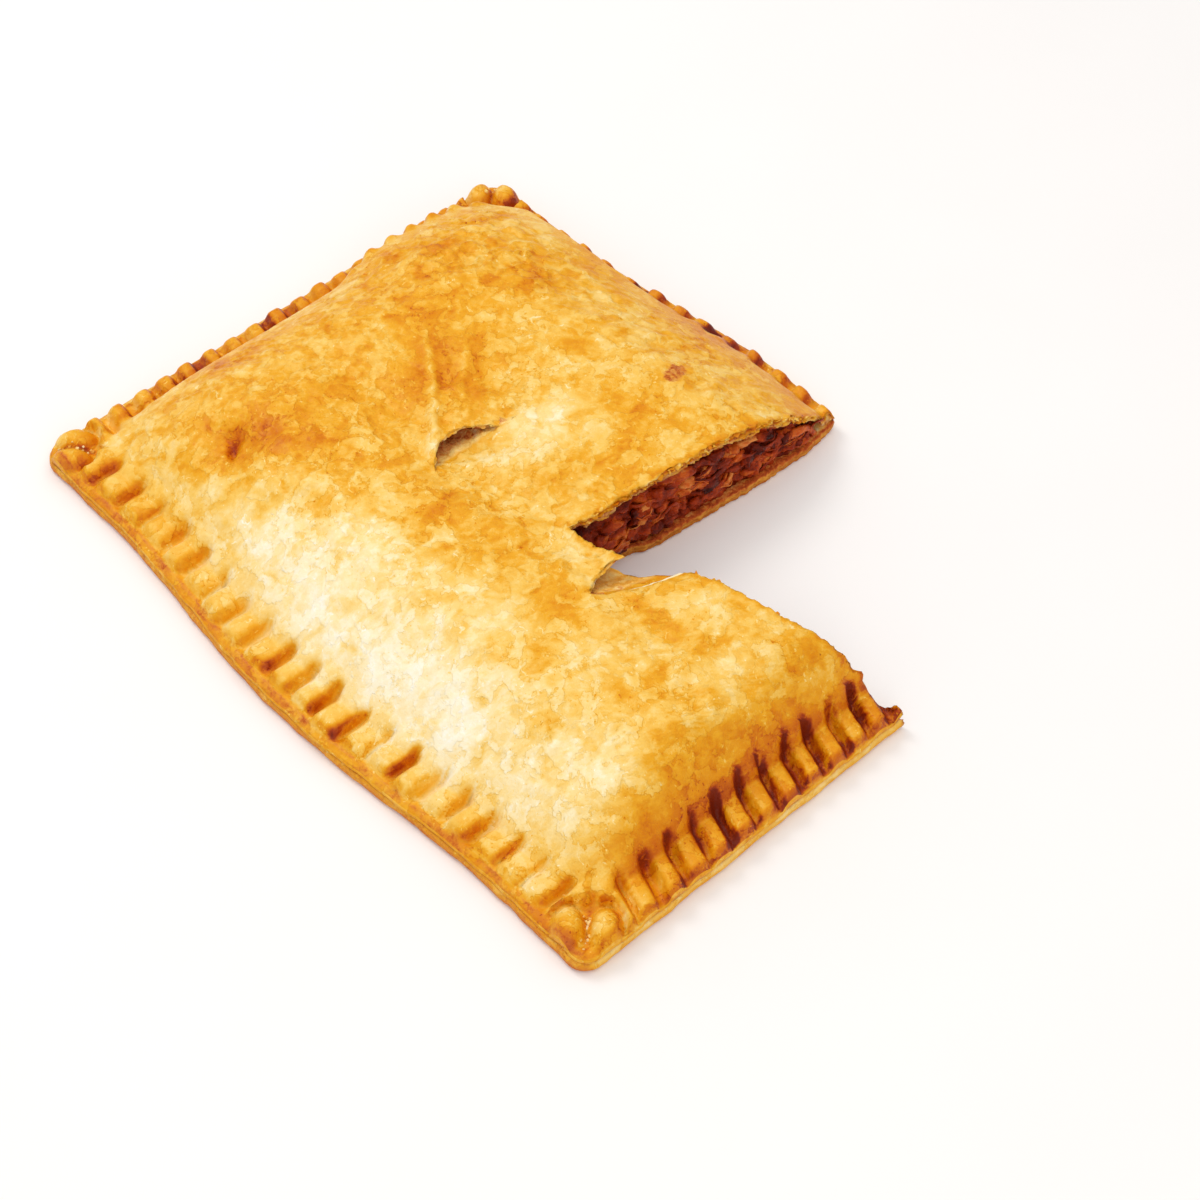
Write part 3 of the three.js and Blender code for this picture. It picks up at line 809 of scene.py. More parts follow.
def surface_values(u, v):
    """How baked, with painted light, shade and sheen, how broken open and how stained the top is."""
    groove = np.abs(HALF_LENGTH - np.abs(u) - HALF_WIDTH + np.abs(v))
    depth = rim_depth(u, v)
    corner = (1 - ramp(groove, 0.6, 2.0)) * ramp(depth, 2, 4) * (1 - ramp(depth, 11, 14))
    worn = np.clip(0.9 + 0.5 * tone_noise(u / 7, v / 2, 2), 0.3, 1.3)
    rubbed = (1 - ramp(HALF_WIDTH + v, 2.2, 4.4)) * worn
    along = v - RED_SPOT[1]
    soaked = bell(along, 0, 4.4) * bell(u - RED_SPOT[0] + 0.3 * along, 0, 3.2)
    soaked = soaked + 0.2 * tone_noise(u / 2, v / 2, 2) * (soaked > 0.05)
    return dict(
        bake=browning_and_painted_light(u, v) + 0.2 * corner + 0.10 * rubbed,
        inner=0.4 * corner,
        stain=0.42 * rubbed + 0.57 * ramp(soaked, 0.2, 0.5),
    )


def add_tongue(builder, grid, number):
    """The near lip's sheet, which carries on down under the far lip."""
    vent = VENTS[number]
    lip_u, lip_v, lip_rise = grid.near_lips[number]
    opening = vent_opening(vent, lip_v) ** 0.5
    rim_rows = [0.007, 0.014, TONGUE_LIP] if vent["step"] else []
    steps = np.concatenate([rim_rows, np.linspace(0.05, 1, 16)])[:, None]
    over_rim = np.minimum(steps / TONGUE_LIP, 1)
    rim = vent["step"] * opening ** 4
    u = lip_u - rim * over_rim - vent["tongue"] * opening * np.maximum(steps - TONGUE_LIP, 0)
    u, v = follow_cuts(u, np.broadcast_to(lip_v, u.shape), CUT_TEAR)
    fall = vent["drop"] * opening * (0.5 * steps + 0.5 * np.sin(0.5 * math.pi * steps))
    fall = fall + rim * (0.2 * over_rim + 1.1 * ramp(steps, TONGUE_LIP, 0.05))
    lumps = 0.6 * medium_noise(u / 5, v / 5, 2) * ramp(steps, 0.05, 0.4)
    z = top_z(*follow_cuts(lip_u, lip_v, CUT_TEAR)) + lip_rise - fall + lumps
    crust = browning_and_painted_light(u, v)
    cream = (steps < 0.03) * (rim > 0.2)
    # Painted shade, with some of the filling's juice: the tongue grows darker and redder towards its far
    # end, under the far lip.
    bake = crust + (0.02 + 0.2 * steps - crust) * ramp(steps, 0.02, 0.3)
    values = dict(
        bake=np.where(cream, -0.3, bake + 0.10 * (vent["step"] > 0)),
        inner=np.where(cream, 0.9, ramp(steps, 0.05, 0.4)),
        stain=np.where(cream, 0.0, (0.56 - 0.3 * (vent["step"] > 0)) * ramp(steps, 0.10, 0.45)),
    )
    rows = builder.add(plan_points(u, v, z), (u, v), **values)
    tongue = np.concatenate([grid.lips[number][None], rows])
    tongue[:, 0] = grid.lips[number][0]
    if number == 0:
        tongue[:, -1] = grid.lips[number][-1]
    builder.grid(tongue, flip=True)
    return tongue


def add_edge(builder, segments, torn):
    """The sheet's edge: rows of points from its top down to its underside.

    torn tells for each segment whether it is broken or just rolled out."""
    loop = np.concatenate([segment[:-1] for segment in segments])
    points = builder.place(loop)
    u, v = np.concatenate(builder.plain)[loop].T
    cut = [np.full(len(segment) - 1, float(t)) for segment, t in zip(segments, torn)]
    cut = smooth_loop(np.concatenate(cut), 4)
    lip = near_vents(u, v)
    run = run_along(points)
    thick = RIM_SHEET + (CRUST - RIM_SHEET) * ramp(rim_depth(u, v), 12, 30)
    thick = thick * (1 + 0.25 * face_noise(run / 9, 5, 2)) * (1 - 0.75 * lip)
    to_seal = points[:, 2] - SEAL_Z
    thick = np.where(cut > 0.5, np.minimum(thick, to_seal), to_seal)
    shares = np.array(EDGE_ROWS)[1:, None]
    z = points[:, 2] - thick * shares
    layer = face_noise(run / 7, (z + 0.25 * face_noise(run / 9, 3, 2)) * 1.15, 3, 0.65)
    broken = 0.9 * terrace(layer, 2.5) - 0.1 - 0.1 * shares
    rolled = 0.5 * (1 - (2 * shares - 1) ** 2) + 0.15 * layer - 0.35 * shares
    stand = EDGE_STAND * (broken * cut + rolled * (1 - cut)) * ramp(shares, 0, 0.12)
    stained = ramp(shares, 0.7, 1.0) * np.clip(0.7 + 0.8 * face_noise(run / 6, 9, 2), 0, 1)
    bake = 0.08 + 0.16 * shares - 0.12 * lip + (0.11 - 0.25 * layer) * cut * (1 - lip)
    # Painted shade: the foot of edges that are rolled, not cut, is coloured darker, as in the shade under
    # the rim.
    values = dict(
        bake=bake + 0.4 * (1 - cut) * ramp(shares, 0.7, 0.9),
        inner=ramp(shares, 0.35, 0.8) * cut * 0.6,
        stain=0.6 * stained * cut * (1 - lip),
    )
    below = builder.add(stand_out(points[:, :2], stand, z), (u, v), **values)
    builder.wall(np.concatenate([loop[None], below]))
    bottom = np.append(below[-1], below[-1][0])
    starts = np.cumsum([0] + [len(segment) - 1 for segment in segments])
    return [bottom[start:end + 1] for start, end in zip(starts, starts[1:])]


def build_crust_top(material):
    builder = Builder()
    reach_u, reach_v = HALF_LENGTH - SHEET_INSET, HALF_WIDTH - SHEET_INSET
    corner_u, corner_v = INNER_CORNER
    middle, right = VENTS
    anchors_u = (-reach_u, middle["column"], corner_u, right["column"], reach_u)
    anchors_v = (-reach_v, right["start"], middle["start"], corner_v, middle["end"], reach_v)
    fine_u, fine_v = (-HALF_LENGTH, corner_u, HALF_LENGTH), (-HALF_WIDTH, corner_v, HALF_WIDTH)
    top, under = (
        SheetGrid(stations(anchors_u, fine_u, *spacing), stations(anchors_v, fine_v, *spacing))
        for spacing in (TOP_SPACING, UNDER_SPACING)
    )
    top.lay(builder, CUT_TEAR, top_z, False, surface_values)
    tongues = [add_tongue(builder, top, number) for number in range(len(VENTS))]
    under.lay(builder, 0.0, under_z, True, lambda u, v: dict(inner=1.0, stain=0.6))

    near, far = top.outline(tongues), under.outline(None)
    rolled = (0, 1, len(near) - 2, len(near) - 1)
    edges = (
        (near, far, [n not in rolled for n in range(len(near))]),
        (top.hole(tongues), under.hole(None), (True, True)),
    )
    for near, far, torn in edges:
        bottoms = add_edge(builder, near, torn)
        if len(bottoms) > len(far):
            bottoms[3:5] = [np.concatenate([bottoms[3], bottoms[4][1:]])]
        for upper, lower in zip(bottoms, far):
            builder.zip(upper, lower)
    return builder.make("top_sheet", material, weld=False)


# ------------------------------------------------------------------ filling and bottom sheet


def ring_path(insets, recess, tear, seed, fine, coarse):
    """A closed outline in plan: the two cuts first, then the back, left, front and right sides.

    Also gives 1 on the cuts and 0 elsewhere."""
    corner_u, corner_v = INNER_CORNER
    far_u, far_v = HALF_LENGTH - insets["right"], HALF_WIDTH - insets["back"]
    near_u, near_v = insets["left"] - HALF_LENGTH, insets["front"] - HALF_WIDTH
    u = np.linspace(far_u, corner_u - recess, round((far_u - corner_u) / fine))
    front = np.stack([u, cut_line("front", np.maximum(u, corner_u), tear, seed) - recess], -1)
    v = np.linspace(corner_v - recess, far_v, round((far_v - corner_v) / fine))[1:]
    back = np.stack([cut_line("back", np.maximum(v, corner_v), tear, seed) - recess, v], -1)
    sides = []
    at = back[-1]
    for corner in ((near_u, far_v), (near_u, near_v), (far_u, near_v), front[0]):
        steps = max(2, round(np.hypot(*np.subtract(corner, at)) / coarse))
        sides.append(np.linspace(at, corner, steps + 1)[1:])
        at = np.array(corner)
    path = np.concatenate([front, back, *sides])[:-1]
    return path, (np.arange(len(path)) < len(front) + len(back)).astype(float)


def closing_rings(path, step, hub, shares):
    """u and v of the rings that close a plan path.

    The first is a step inside the path and smooth. The others are copies of it, each shrunk to
    a share of its distance from the hub."""
    smooth = np.stack([smooth_loop(line, 5) for line in path.T], -1)
    first = smooth - step * loop_outward(smooth)
    rings = np.array(hub) + (first - hub) * np.array([1, *shares])[:, None, None]
    return rings[..., 0], rings[..., 1]


def filling_top(u, v):
    """Height of the filling under the top sheet, lower where the vents' tongues drop."""
    height = pillow(u, v, rim_form(u, v)["share"]) + 0.6 * relief(u, v) - CRUST - FILLING_GAP
    for vent in VENTS:
        pit_u, tongue = vent["middle_u"] - 0.5 * vent["tongue"], vent["tongue"]
        pit = spot(u, v, pit_u, vent["middle"], 0.85 * tongue, 0.7 * vent["length"])
        height = height - (vent["drop"] + 5) * pit
    return height


def build_filling(material):
    builder = Builder()
    path, on_cut = ring_path(FILLING_INSETS, 1.6, 0.8, 60.0, 0.62, 3.0)
    rounded = smooth_loop(on_cut, 6)
    loop = np.stack(to_plan(*path.T), -1)
    run = run_along(loop)
    high = filling_top(*path.T)
    shares = np.linspace(0, 1, 34)[:, None]
    z = high - (high - SEAL_Z) * shares
    lumps = 1.5 * face_noise(run / 7, z / 5, 3, 0.55) + 0.9 * np.abs(medium_noise(run / 2.6, z / 1.8, 2))
    strands = 0.45 * face_noise(run / 5 + 30, (z + 1.5 * np.sin(run / 6)) / 0.9, 2)
    ends = ramp(shares, 0, 0.1) * (1 - 0.5 * ramp(shares, 0.93, 1))
    stand = rounded * ends * (lumps + strands - 0.3 - 0.7 * bell(shares, 0.12, 0.1))
    # Painted highlights: the lumps that stand furthest out of the cut faces are coloured lighter.
    face = builder.add(stand_out(loop, stand, z), bake=0.5 * lumps * rounded, inner=1)
    builder.wall(face)
    u, v = closing_rings(path, 1.8, FILLING_HUB, np.linspace(1, 0, 26)[1:] ** 0.8)
    lid = builder.add(plan_points(u, v, filling_top(u, v)), inner=1)
    builder.wall(np.concatenate([face[:1], lid])[::-1])
    u, v = closing_rings(path, 1.8, FILLING_FLOOR_HUB, [0.5, 0])
    floor = builder.add(plan_points(u, v, SEAL_Z), inner=1)
    builder.wall(np.concatenate([face[-1:], floor]))
    piece = builder.make("filling_core", material)
    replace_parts(piece, "filling")
    return piece


def build_crust_bottom(material):
    builder = Builder()
    path, on_cut = ring_path(dict.fromkeys(SIDES, 0.0), -0.6, 0.5, 90.0, 0.8, 1.1)
    u, v = path.T
    behind = 3.0 * on_cut * (1 - ramp(v, 10, 22)) * (1 - ramp(u, 30, 60))
    on_back = ramp(v, -8, 2)
    path = path - np.stack([behind * on_back, behind * (1 - on_back) * 0.4], -1)
    loop = np.stack(to_plan(*path.T, BASE_WAVES), -1)
    run = run_along(loop)
    shares = np.array((0, 0.08, 0.2, 0.34, 0.48, 0.62, 0.76, 0.9, 1))[:, None]
    round_in = 0.75 * (2 * shares - 1) ** 4 * (1 - 0.5 * on_cut)
    z = BASE_THICKNESS * (1 - shares) + 0 * run
    pores = 0.45 * face_noise(run / 3.5, z * 0.9 + 20, 3, 0.6) * (0.35 + 0.65 * on_cut)
    # Painted shade: the front of the bottom sheet, under the top sheet's rim, is coloured darker and
    # redder.
    front_painted_shade = 1 - ramp(path[:, 1], -HALF_WIDTH + 1, -HALF_WIDTH + 6)
    edge = builder.add(
        stand_out(loop, pores * bell(shares, 0.5, 0.45) - round_in, z),
        bake=0.06 + 0.25 * (shares - 0.4) + 0.50 * on_cut + 0.16 * front_painted_shade,
        inner=0.35 + 0.6 * on_cut,
        stain=0.7 * on_cut * (1 - ramp(shares, 0, 0.6)) + 0.38 * front_painted_shade,
    )
    builder.wall(edge)
    u, v = closing_rings(path, 2.2, SHEET_HUB, [0.972, 0.955, 0.93, *np.linspace(0.90, 0, 18)])
    soaked = 0.62 * ramp(rim_depth(u, v), 6, 16)
    lid = plan_points(u, v, BASE_THICKNESS, BASE_WAVES)
    lid = builder.add(lid, bake=0.05, inner=0.6, stain=soaked)
    builder.wall(np.concatenate([edge[:1], lid])[::-1])
    dents = 0.3 * ramp(rim_depth(u, v), 1, 5) * np.clip(medium_noise(u / 9, v / 9, 2), 0, 1)
    sole = builder.add(plan_points(u, v, dents, BASE_WAVES), bake=0.2, inner=0.15)
    builder.wall(np.concatenate([edge[-1:], sole]))
    piece = builder.make("bottom_sheet", material)
    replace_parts(piece, "crust_bottom")
    return piece


# ------------------------------------------------------------------ small pieces

UP = np.array([0.0, 0.0, 1.0])


def sweep(builder, path, up, half_width, half_thickness, sides, **values):
    """A closed strip or strand along a path, flat across the direction up."""
    ahead = np.gradient(path, axis=0)
    ahead /= np.linalg.norm(ahead, axis=1, keepdims=True)
    across = np.cross(ahead, up)
    across /= np.linalg.norm(across, axis=1, keepdims=True)
    over = np.cross(across, ahead)
    angle = np.linspace(0, 2 * math.pi, sides, endpoint=False)[None, :, None]
    wide, thick = (np.reshape(a, (-1, 1, 1)) for a in (half_width, half_thickness))
    rings = path[:, None] + across[:, None] * wide * np.cos(angle) + over[:, None] * thick * np.sin(angle)
    tips = path[0] - 0.1 * ahead[0], path[-1] + 0.1 * ahead[-1]
    start, end = (np.broadcast_to(tip, (1, sides, 3)) for tip in tips)
    builder.wall(builder.add(np.concatenate([start, rings, end]), **values))


def lump(builder, centre, radii, turn, seed, rough, rows, columns, **values):
    """An uneven closed lump, its longest radius turned by that angle in plan."""
    tilt = np.linspace(0, math.pi, rows)[:, None]
    angle = np.linspace(0, 2 * math.pi, columns, endpoint=False)[None]
    x, y, z = np.sin(tilt) * np.cos(angle), np.sin(tilt) * np.sin(angle), np.cos(tilt) + 0 * angle
    swell = 1 + rough * face_noise(1.4 * x + seed * 3.7, 1.4 * y + 1.9 * z, 2)
    x, y, z = (a * r * swell for a, r in zip((x, y, z), radii))
    turned_x = x * math.cos(turn) - y * math.sin(turn)
    turned_y = x * math.sin(turn) + y * math.cos(turn)
    builder.wall(builder.add(np.stack([turned_x, turned_y, z], -1) + centre, **values))


def face_spot(name, along, height, outwards):
    """A place on a cut face: along its side, a share of the filling's height up, and how far out."""
    u, v = cut_place(name, along)
    low, high = SEAL_Z + 1.2, float(filling_top(np.float64(u), np.float64(v))) - 0.6
    out, offset = CUTS[name]["out"], outwards - FACE_RECESS
    x, y = to_plan(u + out[0] * offset, v + out[1] * offset)
    return np.array([x, y, low + (high - low) * height])


def crust_spot(u, v, rise):
    """A place that far above the crust."""
    return np.array([*to_plan(u, v), float(top_z(np.float64(u), np.float64(v))) + rise])


def random_face(rng):
    name = "back" if rng.random() < 0.5 else "front"
    return name, rng.uniform(*CUTS[name]["reach"]), rng.random()


def face_ways(name):
    """The directions along a cut and out of it."""
    return (np.array(CUTS[name][key]) for key in ("run", "out"))


def build_strips(name, material, seed, count, lengths, half_width, half_thickness, stand, sides=6):
    """Strips or fibres that lie in the cut faces, with their ends tucked into the filling."""
    rng = np.random.default_rng(seed)
    builder = Builder()
    t = np.linspace(-1, 1, 11)
    for _ in range(count):
        face, along, height = random_face(rng)
        run, out = face_ways(face)
        length = rng.uniform(*lengths)
        lean = rng.normal(0, 0.35)
        bend, kink = rng.normal(0, 0.16, 2) * length
        rise = lean * 0.5 * length * t + bend * (1 - t * t) + 0.4 * kink * np.sin(4 * t + along)
        tuck = -1.6 * t ** 4 + 0.35 * np.sin(5 * t + height * 6)
        centre = face_spot(face, along, 0.08 + 0.84 * height, rng.uniform(*stand))
        rise = np.clip(rise, SEAL_Z + 0.8 - centre[2], None)
        room = face_spot(face, along, 1.0, 0)[2] - centre[2]
        rise = np.clip(rise, None, max(room, 0.2))
        path = centre + run * 0.5 * length * t[:, None] + out * tuck[:, None] + UP * rise[:, None]
        wide = rng.uniform(*half_width) * (1 - 0.5 * t ** 6) * (1 + 0.2 * np.sin(3 * t + along))
        thick = rng.uniform(*half_thickness) * (1 - 0.4 * t ** 6)
        twist = out + UP * rng.normal(0, 0.5)
        sweep(builder, path, twist, wide, thick, sides, bake=rng.uniform(-1, 1), inner=1.0)
    return builder.make(name, material)


def build_lumps(name, material, seed, count, sizes, stand):
    """Pieces that stick out of the filling on the cut faces."""
    rng = np.random.default_rng(seed)
    builder = Builder()
    for number in range(count):
        face, along, height = random_face(rng)
        size = rng.uniform(*sizes)
        radii = size * np.array([rng.uniform(1.0, 1.7), rng.uniform(0.6, 0.9), rng.uniform(0.5, 0.85)])
        centre = face_spot(face, along, 0.08 + 0.8 * height, rng.uniform(*stand) - 0.5 * radii[1])
        run = CUTS[face]["run"]
        turn = math.atan2(run[1], run[0]) + rng.normal(0, 0.3)
        lump(builder, centre, radii, turn, seed + number, 0.35, 9, 13, bake=rng.uniform(-1, 1), inner=1.0)
    return builder.make(name, material)


def build_edge_flakes(material):
    """Thin shards of pastry that stand off the top sheet's cut edges."""
    rng = np.random.default_rng(71)
    builder = Builder()
    t = np.linspace(0, 1, 6)
    for _ in range(120):
        name, along, level = random_face(rng)
        if name == "front" and 40 < along < 58:
            continue
        start = crust_spot(*cut_place(name, along), -0.35 - 1.9 * level)
        run, out = face_ways(name)
        reach, width = rng.uniform(0.5, 1.5), rng.uniform(0.4, 1.5)
        skew, droop, curl = rng.normal(0, 0.4), rng.normal(-0.15, 0.3), rng.normal(0, 0.35)
        path = start + (out + skew * run) * reach * (t[:, None] - 0.35)
        path = path + UP * reach * (droop * t + curl * t * t)[:, None]
        wide = width * (1 - 0.75 * t ** 2) * (1 + 0.2 * np.sin(9 * t + along))
        sweep(builder, path, UP, wide, 0.09 + 0.08 * (1 - t), 8,
              bake=rng.uniform(0.0, 0.35), inner=rng.uniform(0.0, 0.30), stain=0.3 * (level > 0.8))
    return builder.make("edge_flakes", material)


def build_crumbs(material):
    """Dry crumbs in the grooves between the corners' lobes."""
    rng = np.random.default_rng(83)
    builder = Builder()
    for corner_u, corner_v in ((1, -1), (-1, -1), (-1, 1)):
        for number in range(12):
            inset = rng.uniform(3.5, 12)
            side = rng.normal(0, 0.8)
            u, v = corner_u * (HALF_LENGTH - inset - side), corner_v * (HALF_WIDTH - inset + side)
            size = rng.uniform(0.25, 0.75)
            radii = size * rng.uniform(0.6, 1.2, 3)
            lump(builder, crust_spot(u, v, 0.3 * size), radii, rng.uniform(0, 3), number, 0.5, 6, 8,
                 bake=rng.uniform(-0.15, 0.25), inner=1.0)
    return builder.make("crumbs", material)


# ------------------------------------------------------------------ materials


def linear(red, green, blue):
    """Scene colour of an ordinary screen colour, given as 0 to 255."""
    parts = [c / 255 for c in (red, green, blue)]
    return [*(p / 12.92 if p <= 0.04045 else ((p + 0.055) / 1.055) ** 2.4 for p in parts), 1]


class Shader:
    """A material and short ways to add nodes to it."""

    def __init__(self, name):
        self.material = bpy.data.materials.new(name)
        self.material.use_nodes = True
        self.tree = self.material.node_tree
        self.surface = self.tree.nodes["Principled BSDF"]
        self.straight = self.node("TexCoord", "Object", {})
        turn = {"Vector": self.straight, "Rotation": (0.61, 0.43, 0.97)}
        self.where = self.node("Mapping", "Vector", turn)

    def put(self, value, socket):
        if isinstance(value, bpy.types.NodeSocket):
            self.tree.links.new(value, socket)
        else:
            socket.default_value = value

    def node(self, kind, output, inputs, **settings):
        """Adds a node with those inputs, values or other nodes' outputs, and gives one output."""
        made = self.tree.nodes.new("ShaderNode" + kind)
        for key, value in settings.items():
            setattr(made, key, value)
        for key, value in inputs.items():
            self.put(value, made.inputs[key])
        return made.outputs[output]

    def math(self, operation, a, b=0.0):
        return self.node("Math", "Value", {0: a, 1: b}, operation=operation)

    def sum(self, *values):
        total = values[0]
        for value in values[1:]:
            total = self.math("ADD", total, value)
        return total

    def times(self, a, b):
        return self.math("MULTIPLY", a, b)

    def centred(self, value, amount):
        """A noise of about 0 to 1 as a swing of that amount to both sides."""
        return self.times(self.math("SUBTRACT", value, 0.5), amount)

    def noise(self, size, detail, rough, twist=0.0, where=None):
        """Noise with features of about that many millimetres."""
        inputs = {"Vector": self.where if where is None else where, "Scale": 1 / (size * MM),
                  "Detail": detail, "Roughness": rough, "Distortion": twist}
        return self.node("TexNoise", "Fac", inputs)

    def stretched(self, *lengths):
        """Coordinates in which patterns are that many times longer along x, y and z."""
        scale = [1 / length for length in lengths]
        return self.node("Mapping", "Vector", {"Vector": self.straight, "Scale": scale})

    def bent(self, amount, size):
        """Coordinates pushed about by that many millimetres, in waves of that size."""
        waves = self.node("TexNoise", "Color", {"Vector": self.where, "Scale": 1 / (size * MM)})
        inputs = {0: waves, 1: (amount * MM,) * 3, 2: self.where}
        return self.node("VectorMath", "Vector", inputs, operation="MULTIPLY_ADD")

    def value(self, name):
        return self.node("Attribute", "Fac", {}, attribute_name=name)

    def ramp(self, factor, stops):
        made = self.tree.nodes.new("ShaderNodeValToRGB")
        elements = made.color_ramp.elements
        while len(elements) < len(stops):
            elements.new(0.5)
        for element, (place, colour) in zip(elements, stops):
            element.position = place
            element.color = colour
        self.put(factor, made.inputs["Fac"])
        return made.outputs["Color"]

    def window(self, value, low, high):
        """0 below low, 1 above high."""
        inputs = {"Value": value, "From Min": low, "From Max": high}
        return self.node("MapRange", "Result", inputs, interpolation_type="SMOOTHSTEP")

    def mix(self, factor, a, b):
        return self.node("Mix", "Result", {"Factor": factor, "A": a, "B": b}, data_type="RGBA")

    def bump(self, height, depth, strength):
        """Relief of that many millimetres."""
        inputs = {"Strength": strength, "Distance": depth * MM, "Height": height}
        self.put(self.node("Bump", "Normal", inputs), self.surface.inputs["Normal"])

    def finish(self, colour, roughness, **fixed):
        self.put(colour, self.surface.inputs["Base Color"])
        self.put(roughness, self.surface.inputs["Roughness"])
        for name, value in fixed.items():
            self.surface.inputs[name.replace("_", " ")].default_value = value
        return self.material


CRUST_TONES = (
    (0.00, linear(255, 250, 232)),
    (0.14, linear(255, 240, 200)),
    (0.28, linear(252, 222, 150)),
    (0.42, linear(246, 198, 92)),
    (0.54, linear(238, 170, 34)),
    (0.66, linear(226, 142, 4)),
    (0.78, linear(208, 108, 3)),
    (0.89, linear(168, 60, 8)),
    (1.00, linear(122, 34, 8)),
)
DOUGH_TONES = (
    (0.0, linear(255, 240, 198)),
    (0.3, linear(250, 212, 124)),
    (0.6, linear(236, 168, 60)),
    (1.0, linear(188, 104, 30)),
)
STAIN_AND_SHADE_TONES = (
    (0.2, linear(228, 152, 84)),
    (0.6, linear(190, 78, 26)),
    (1.0, linear(100, 30, 8)),
)
FILLING_TONES = (
    (0.0, linear(58, 8, 1)),
    (0.25, linear(112, 28, 5)),
    (0.5, linear(172, 56, 14)),
    (0.75, linear(216, 102, 32)),
    (1.0, linear(242, 164, 84)),
)


def pastry_material(name, paleness=0.0, gloss=0.36):
    """Laminated dough: egg-washed and browned outside, pale and leafy where it is broken."""
    s = Shader(name)
    grain = s.noise(1.5, 4, 0.64, 0.7)
    specks = s.noise(0.45, 2, 0.6)
    bent = s.bent(5, 9)
    patches = s.noise(7.5, 5, 0.58, where=bent)
    flakes = s.window(patches, 0.50, 0.545)
    outlines = s.window(s.math("ABSOLUTE", s.math("SUBTRACT", patches, 0.515)), 0.02, 0.0)
    chips = s.window(s.noise(2.7, 3, 0.6, where=bent), 0.51, 0.58)
    pores = s.window(s.noise(1.0, 2, 0.5), 0.66, 0.73)
    sheen = s.window(s.noise(2.4, 2, 0.5, 1.2), 0.67, 0.74)
    regions = s.noise(22, 3, 0.5)
    busy = s.window(regions, 0.42, 0.58)
    detail = s.sum(
        s.times(flakes, -0.075), s.times(chips, -0.05), s.times(s.times(outlines, busy), 0.07),
        s.times(s.times(pores, busy), 0.16), s.times(sheen, -0.16), s.centred(regions, 0.12),
    )
    # This tone carries the painted light and shade of the flanks, the painted front sheen and, through the
    # sheen flecks, painted highlights.
    tone_with_painted_light = s.sum(
        BASE_TONE + 0.06 - paleness, s.centred(grain, 0.13), s.centred(specks, 0.06), detail,
        s.value("bake"),
    )
    crust = s.ramp(tone_with_painted_light, CRUST_TONES)
    leaves = s.noise(0.9, 3, 0.6, 0.3, where=s.stretched(6, 6, 1))
    crumb = s.sum(0.30, s.centred(leaves, 1.2), s.centred(grain, 0.6), s.value("bake"))
    dough = s.ramp(crumb, DOUGH_TONES)
    broken = s.window(s.sum(s.value("inner"), s.centred(grain, 0.35)), 0.3, 0.7)
    # Stains mixed in here are real juice stains and also painted shade: darker under the vents' far lips
    # and along the bottom sheet's front.
    stain_and_shade_colour = s.ramp(s.sum(s.value("stain"), s.centred(grain, 0.9)), STAIN_AND_SHADE_TONES)
    soaked = s.window(s.sum(s.value("stain"), s.centred(grain, 0.7)), 0.25, 0.75)
    colour = s.mix(soaked, s.mix(broken, crust, dough), stain_and_shade_colour)
    roughness = s.sum(gloss, s.centred(grain, 0.4), s.times(broken, 0.3))
    s.bump(s.sum(grain, s.times(specks, 0.3), s.times(flakes, 0.5)), 0.4, 0.7)
    fixed = dict(Coat_Weight=0.05, Coat_Roughness=0.2, Specular_IOR_Level=0.14)
    return s.finish(colour, roughness, **fixed)


def filling_material(name, shift=0.0, gloss=0.26):
    """Cooked tomato, onion and fish: wet, deep red where it is thin and orange on lumps, which also carry
    painted highlights.
    """
    s = Shader(name)
    lumps = s.noise(5, 4, 0.6, 0.8)
    grain = s.noise(1.4, 4, 0.62, 0.6)
    strands = s.noise(1.1, 4, 0.6, 0.8, where=s.stretched(3, 3, 1))
    blots = s.noise(9, 2, 0.5)
    tone = s.sum(0.36 + shift, s.centred(blots, 1.1), s.centred(lumps, 0.7), s.centred(grain, 0.45),
                 s.centred(strands, 0.4), s.times(s.value("bake"), 0.22))
    colour = s.ramp(tone, FILLING_TONES)
    s.bump(s.sum(s.times(grain, 0.6), strands, lumps), 0.7, 0.7)
    roughness = s.sum(gloss, s.centred(grain, 0.3))
    return s.finish(colour, roughness, Coat_Weight=0.0, Specular_IOR_Level=0.12)


# ------------------------------------------------------------------ build

golden_pastry = pastry_material("golden_pastry")
pale_pastry = pastry_material("pale_pastry", 0.02, 0.55)
tomato_filling = filling_material("tomato_filling")

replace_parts(build_crust_top(golden_pastry), "crust_top")
build_filling(tomato_filling)
build_crust_bottom(pale_pastry)
onion = filling_material("onion", 0.14, 0.2)
tomato = filling_material("tomato", 0.0, 0.2)
fish = filling_material("fish", 0.22, 0.35)
build_strips("onion_strips", onion, 11, 44, (7, 18), (0.8, 1.5), (0.25, 0.5), (-0.3, 1.0))
build_strips("fibres", fish, 12, 60, (4, 10), (0.13, 0.24), (0.12, 0.2), (0.5, 1.5), 5)
build_lumps("fish_flakes", fish, 13, 90, (1.2, 3.0), (-0.3, 0.8))
build_lumps("tomato_bits", tomato, 14, 110, (1.4, 3.2), (-0.4, 0.8))
build_edge_flakes(golden_pastry)
build_crumbs(golden_pastry)

# ------------------------------------------------------------------ floor, light and camera


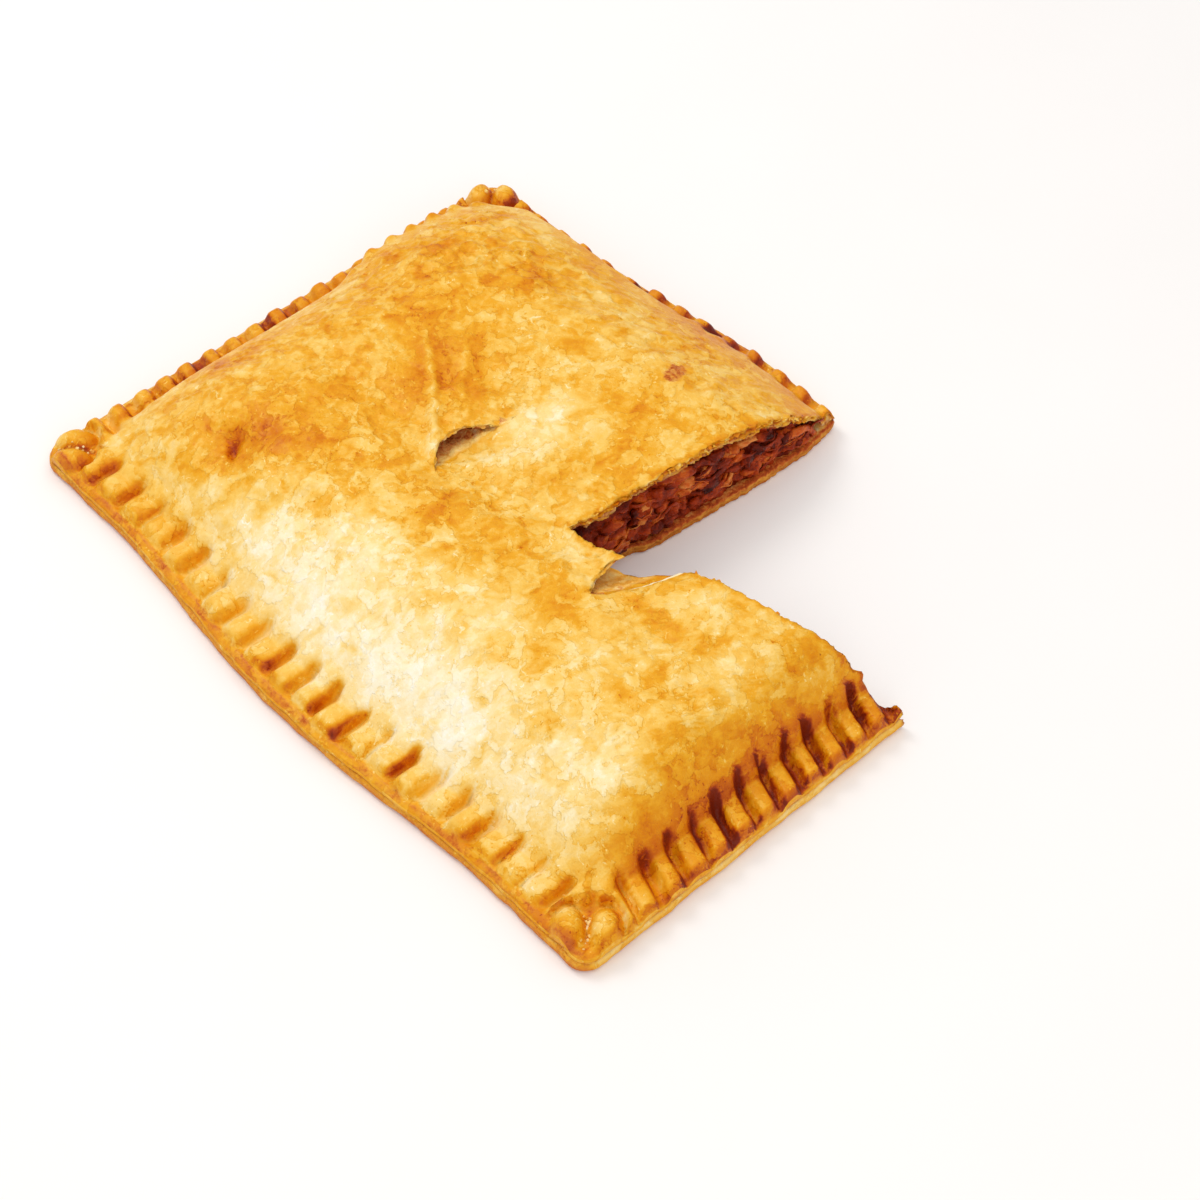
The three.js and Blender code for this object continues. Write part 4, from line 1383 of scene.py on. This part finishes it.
def build_floor():
    mesh = bpy.data.meshes.new("floor")
    half = 1.5
    corners = [(-half, -half, 0), (half, -half, 0), (half, half, 0), (-half, half, 0)]
    mesh.from_pydata(corners, [], [(0, 1, 2, 3)])
    floor = add_object("floor", mesh)
    floor.location.z = -0.0002
    s = Shader("floor")
    paper = s.noise(60, 2, 0.4)
    colour = s.ramp(paper, ((0, (0.90, 0.88, 0.87, 1)), (1, (0.93, 0.91, 0.90, 1))))
    mesh.materials.append(s.finish(colour, 0.6, Emission_Color=(1, 0.97, 0.96, 1), Emission_Strength=0.04))


def add_light(name, towards, distance, size, power, colour):
    """A soft round light in that direction from the pie, facing it."""
    light = bpy.data.lights.new(name, "AREA")
    light.shape = "DISK"
    light.size = size
    light.energy = power
    light.color = colour
    lamp = add_object(name, light)
    direction = np.array(towards, float) / np.linalg.norm(towards)
    lamp.location = direction * distance
    lamp.rotation_euler = Vector(direction).to_track_quat("Z", "Y").to_euler()


CAMERA_PLACE = (0.34476, -0.29165, 0.52551)
CAMERA_RIGHT = (0.676480, 0.736461, 0.000250)
CAMERA_DOWN = (0.571846, -0.525057, -0.630323)
CAMERA_FORWARD = (-0.464077, 0.426544, -0.776333)
CAMERA_LENS = 72.383


def add_camera():
    data = bpy.data.cameras.new("camera")
    data.sensor_width = 36
    data.lens = CAMERA_LENS
    camera = add_object("camera", data)
    right, down, forward = (np.array(a) for a in (CAMERA_RIGHT, CAMERA_DOWN, CAMERA_FORWARD))
    turned = Matrix(np.stack([right, -down, -forward], 1).tolist()).to_4x4()
    turned.translation = CAMERA_PLACE
    camera.matrix_world = turned
    bpy.context.scene.camera = camera


build_floor()
add_light("key", (-0.55, -0.10, 0.80), 1.1, 0.5, 3.4, (1.0, 0.98, 0.95))
add_light("fill", (0.8, -0.45, 0.5), 1.1, 0.6, 1.6, (1.0, 0.97, 0.93))
add_light("overhead", (0.1, 0.1, 1.0), 1.2, 1.3, 3.8, (1.0, 0.99, 0.97))
world = bpy.data.worlds.new("studio")
world.use_nodes = True
world.node_tree.nodes["Background"].inputs["Color"].default_value = (1.0, 0.99, 0.98, 1)
world.node_tree.nodes["Background"].inputs["Strength"].default_value = 0.62
bpy.context.scene.world = world
bpy.context.scene.view_settings.view_transform = "Standard"
add_camera()
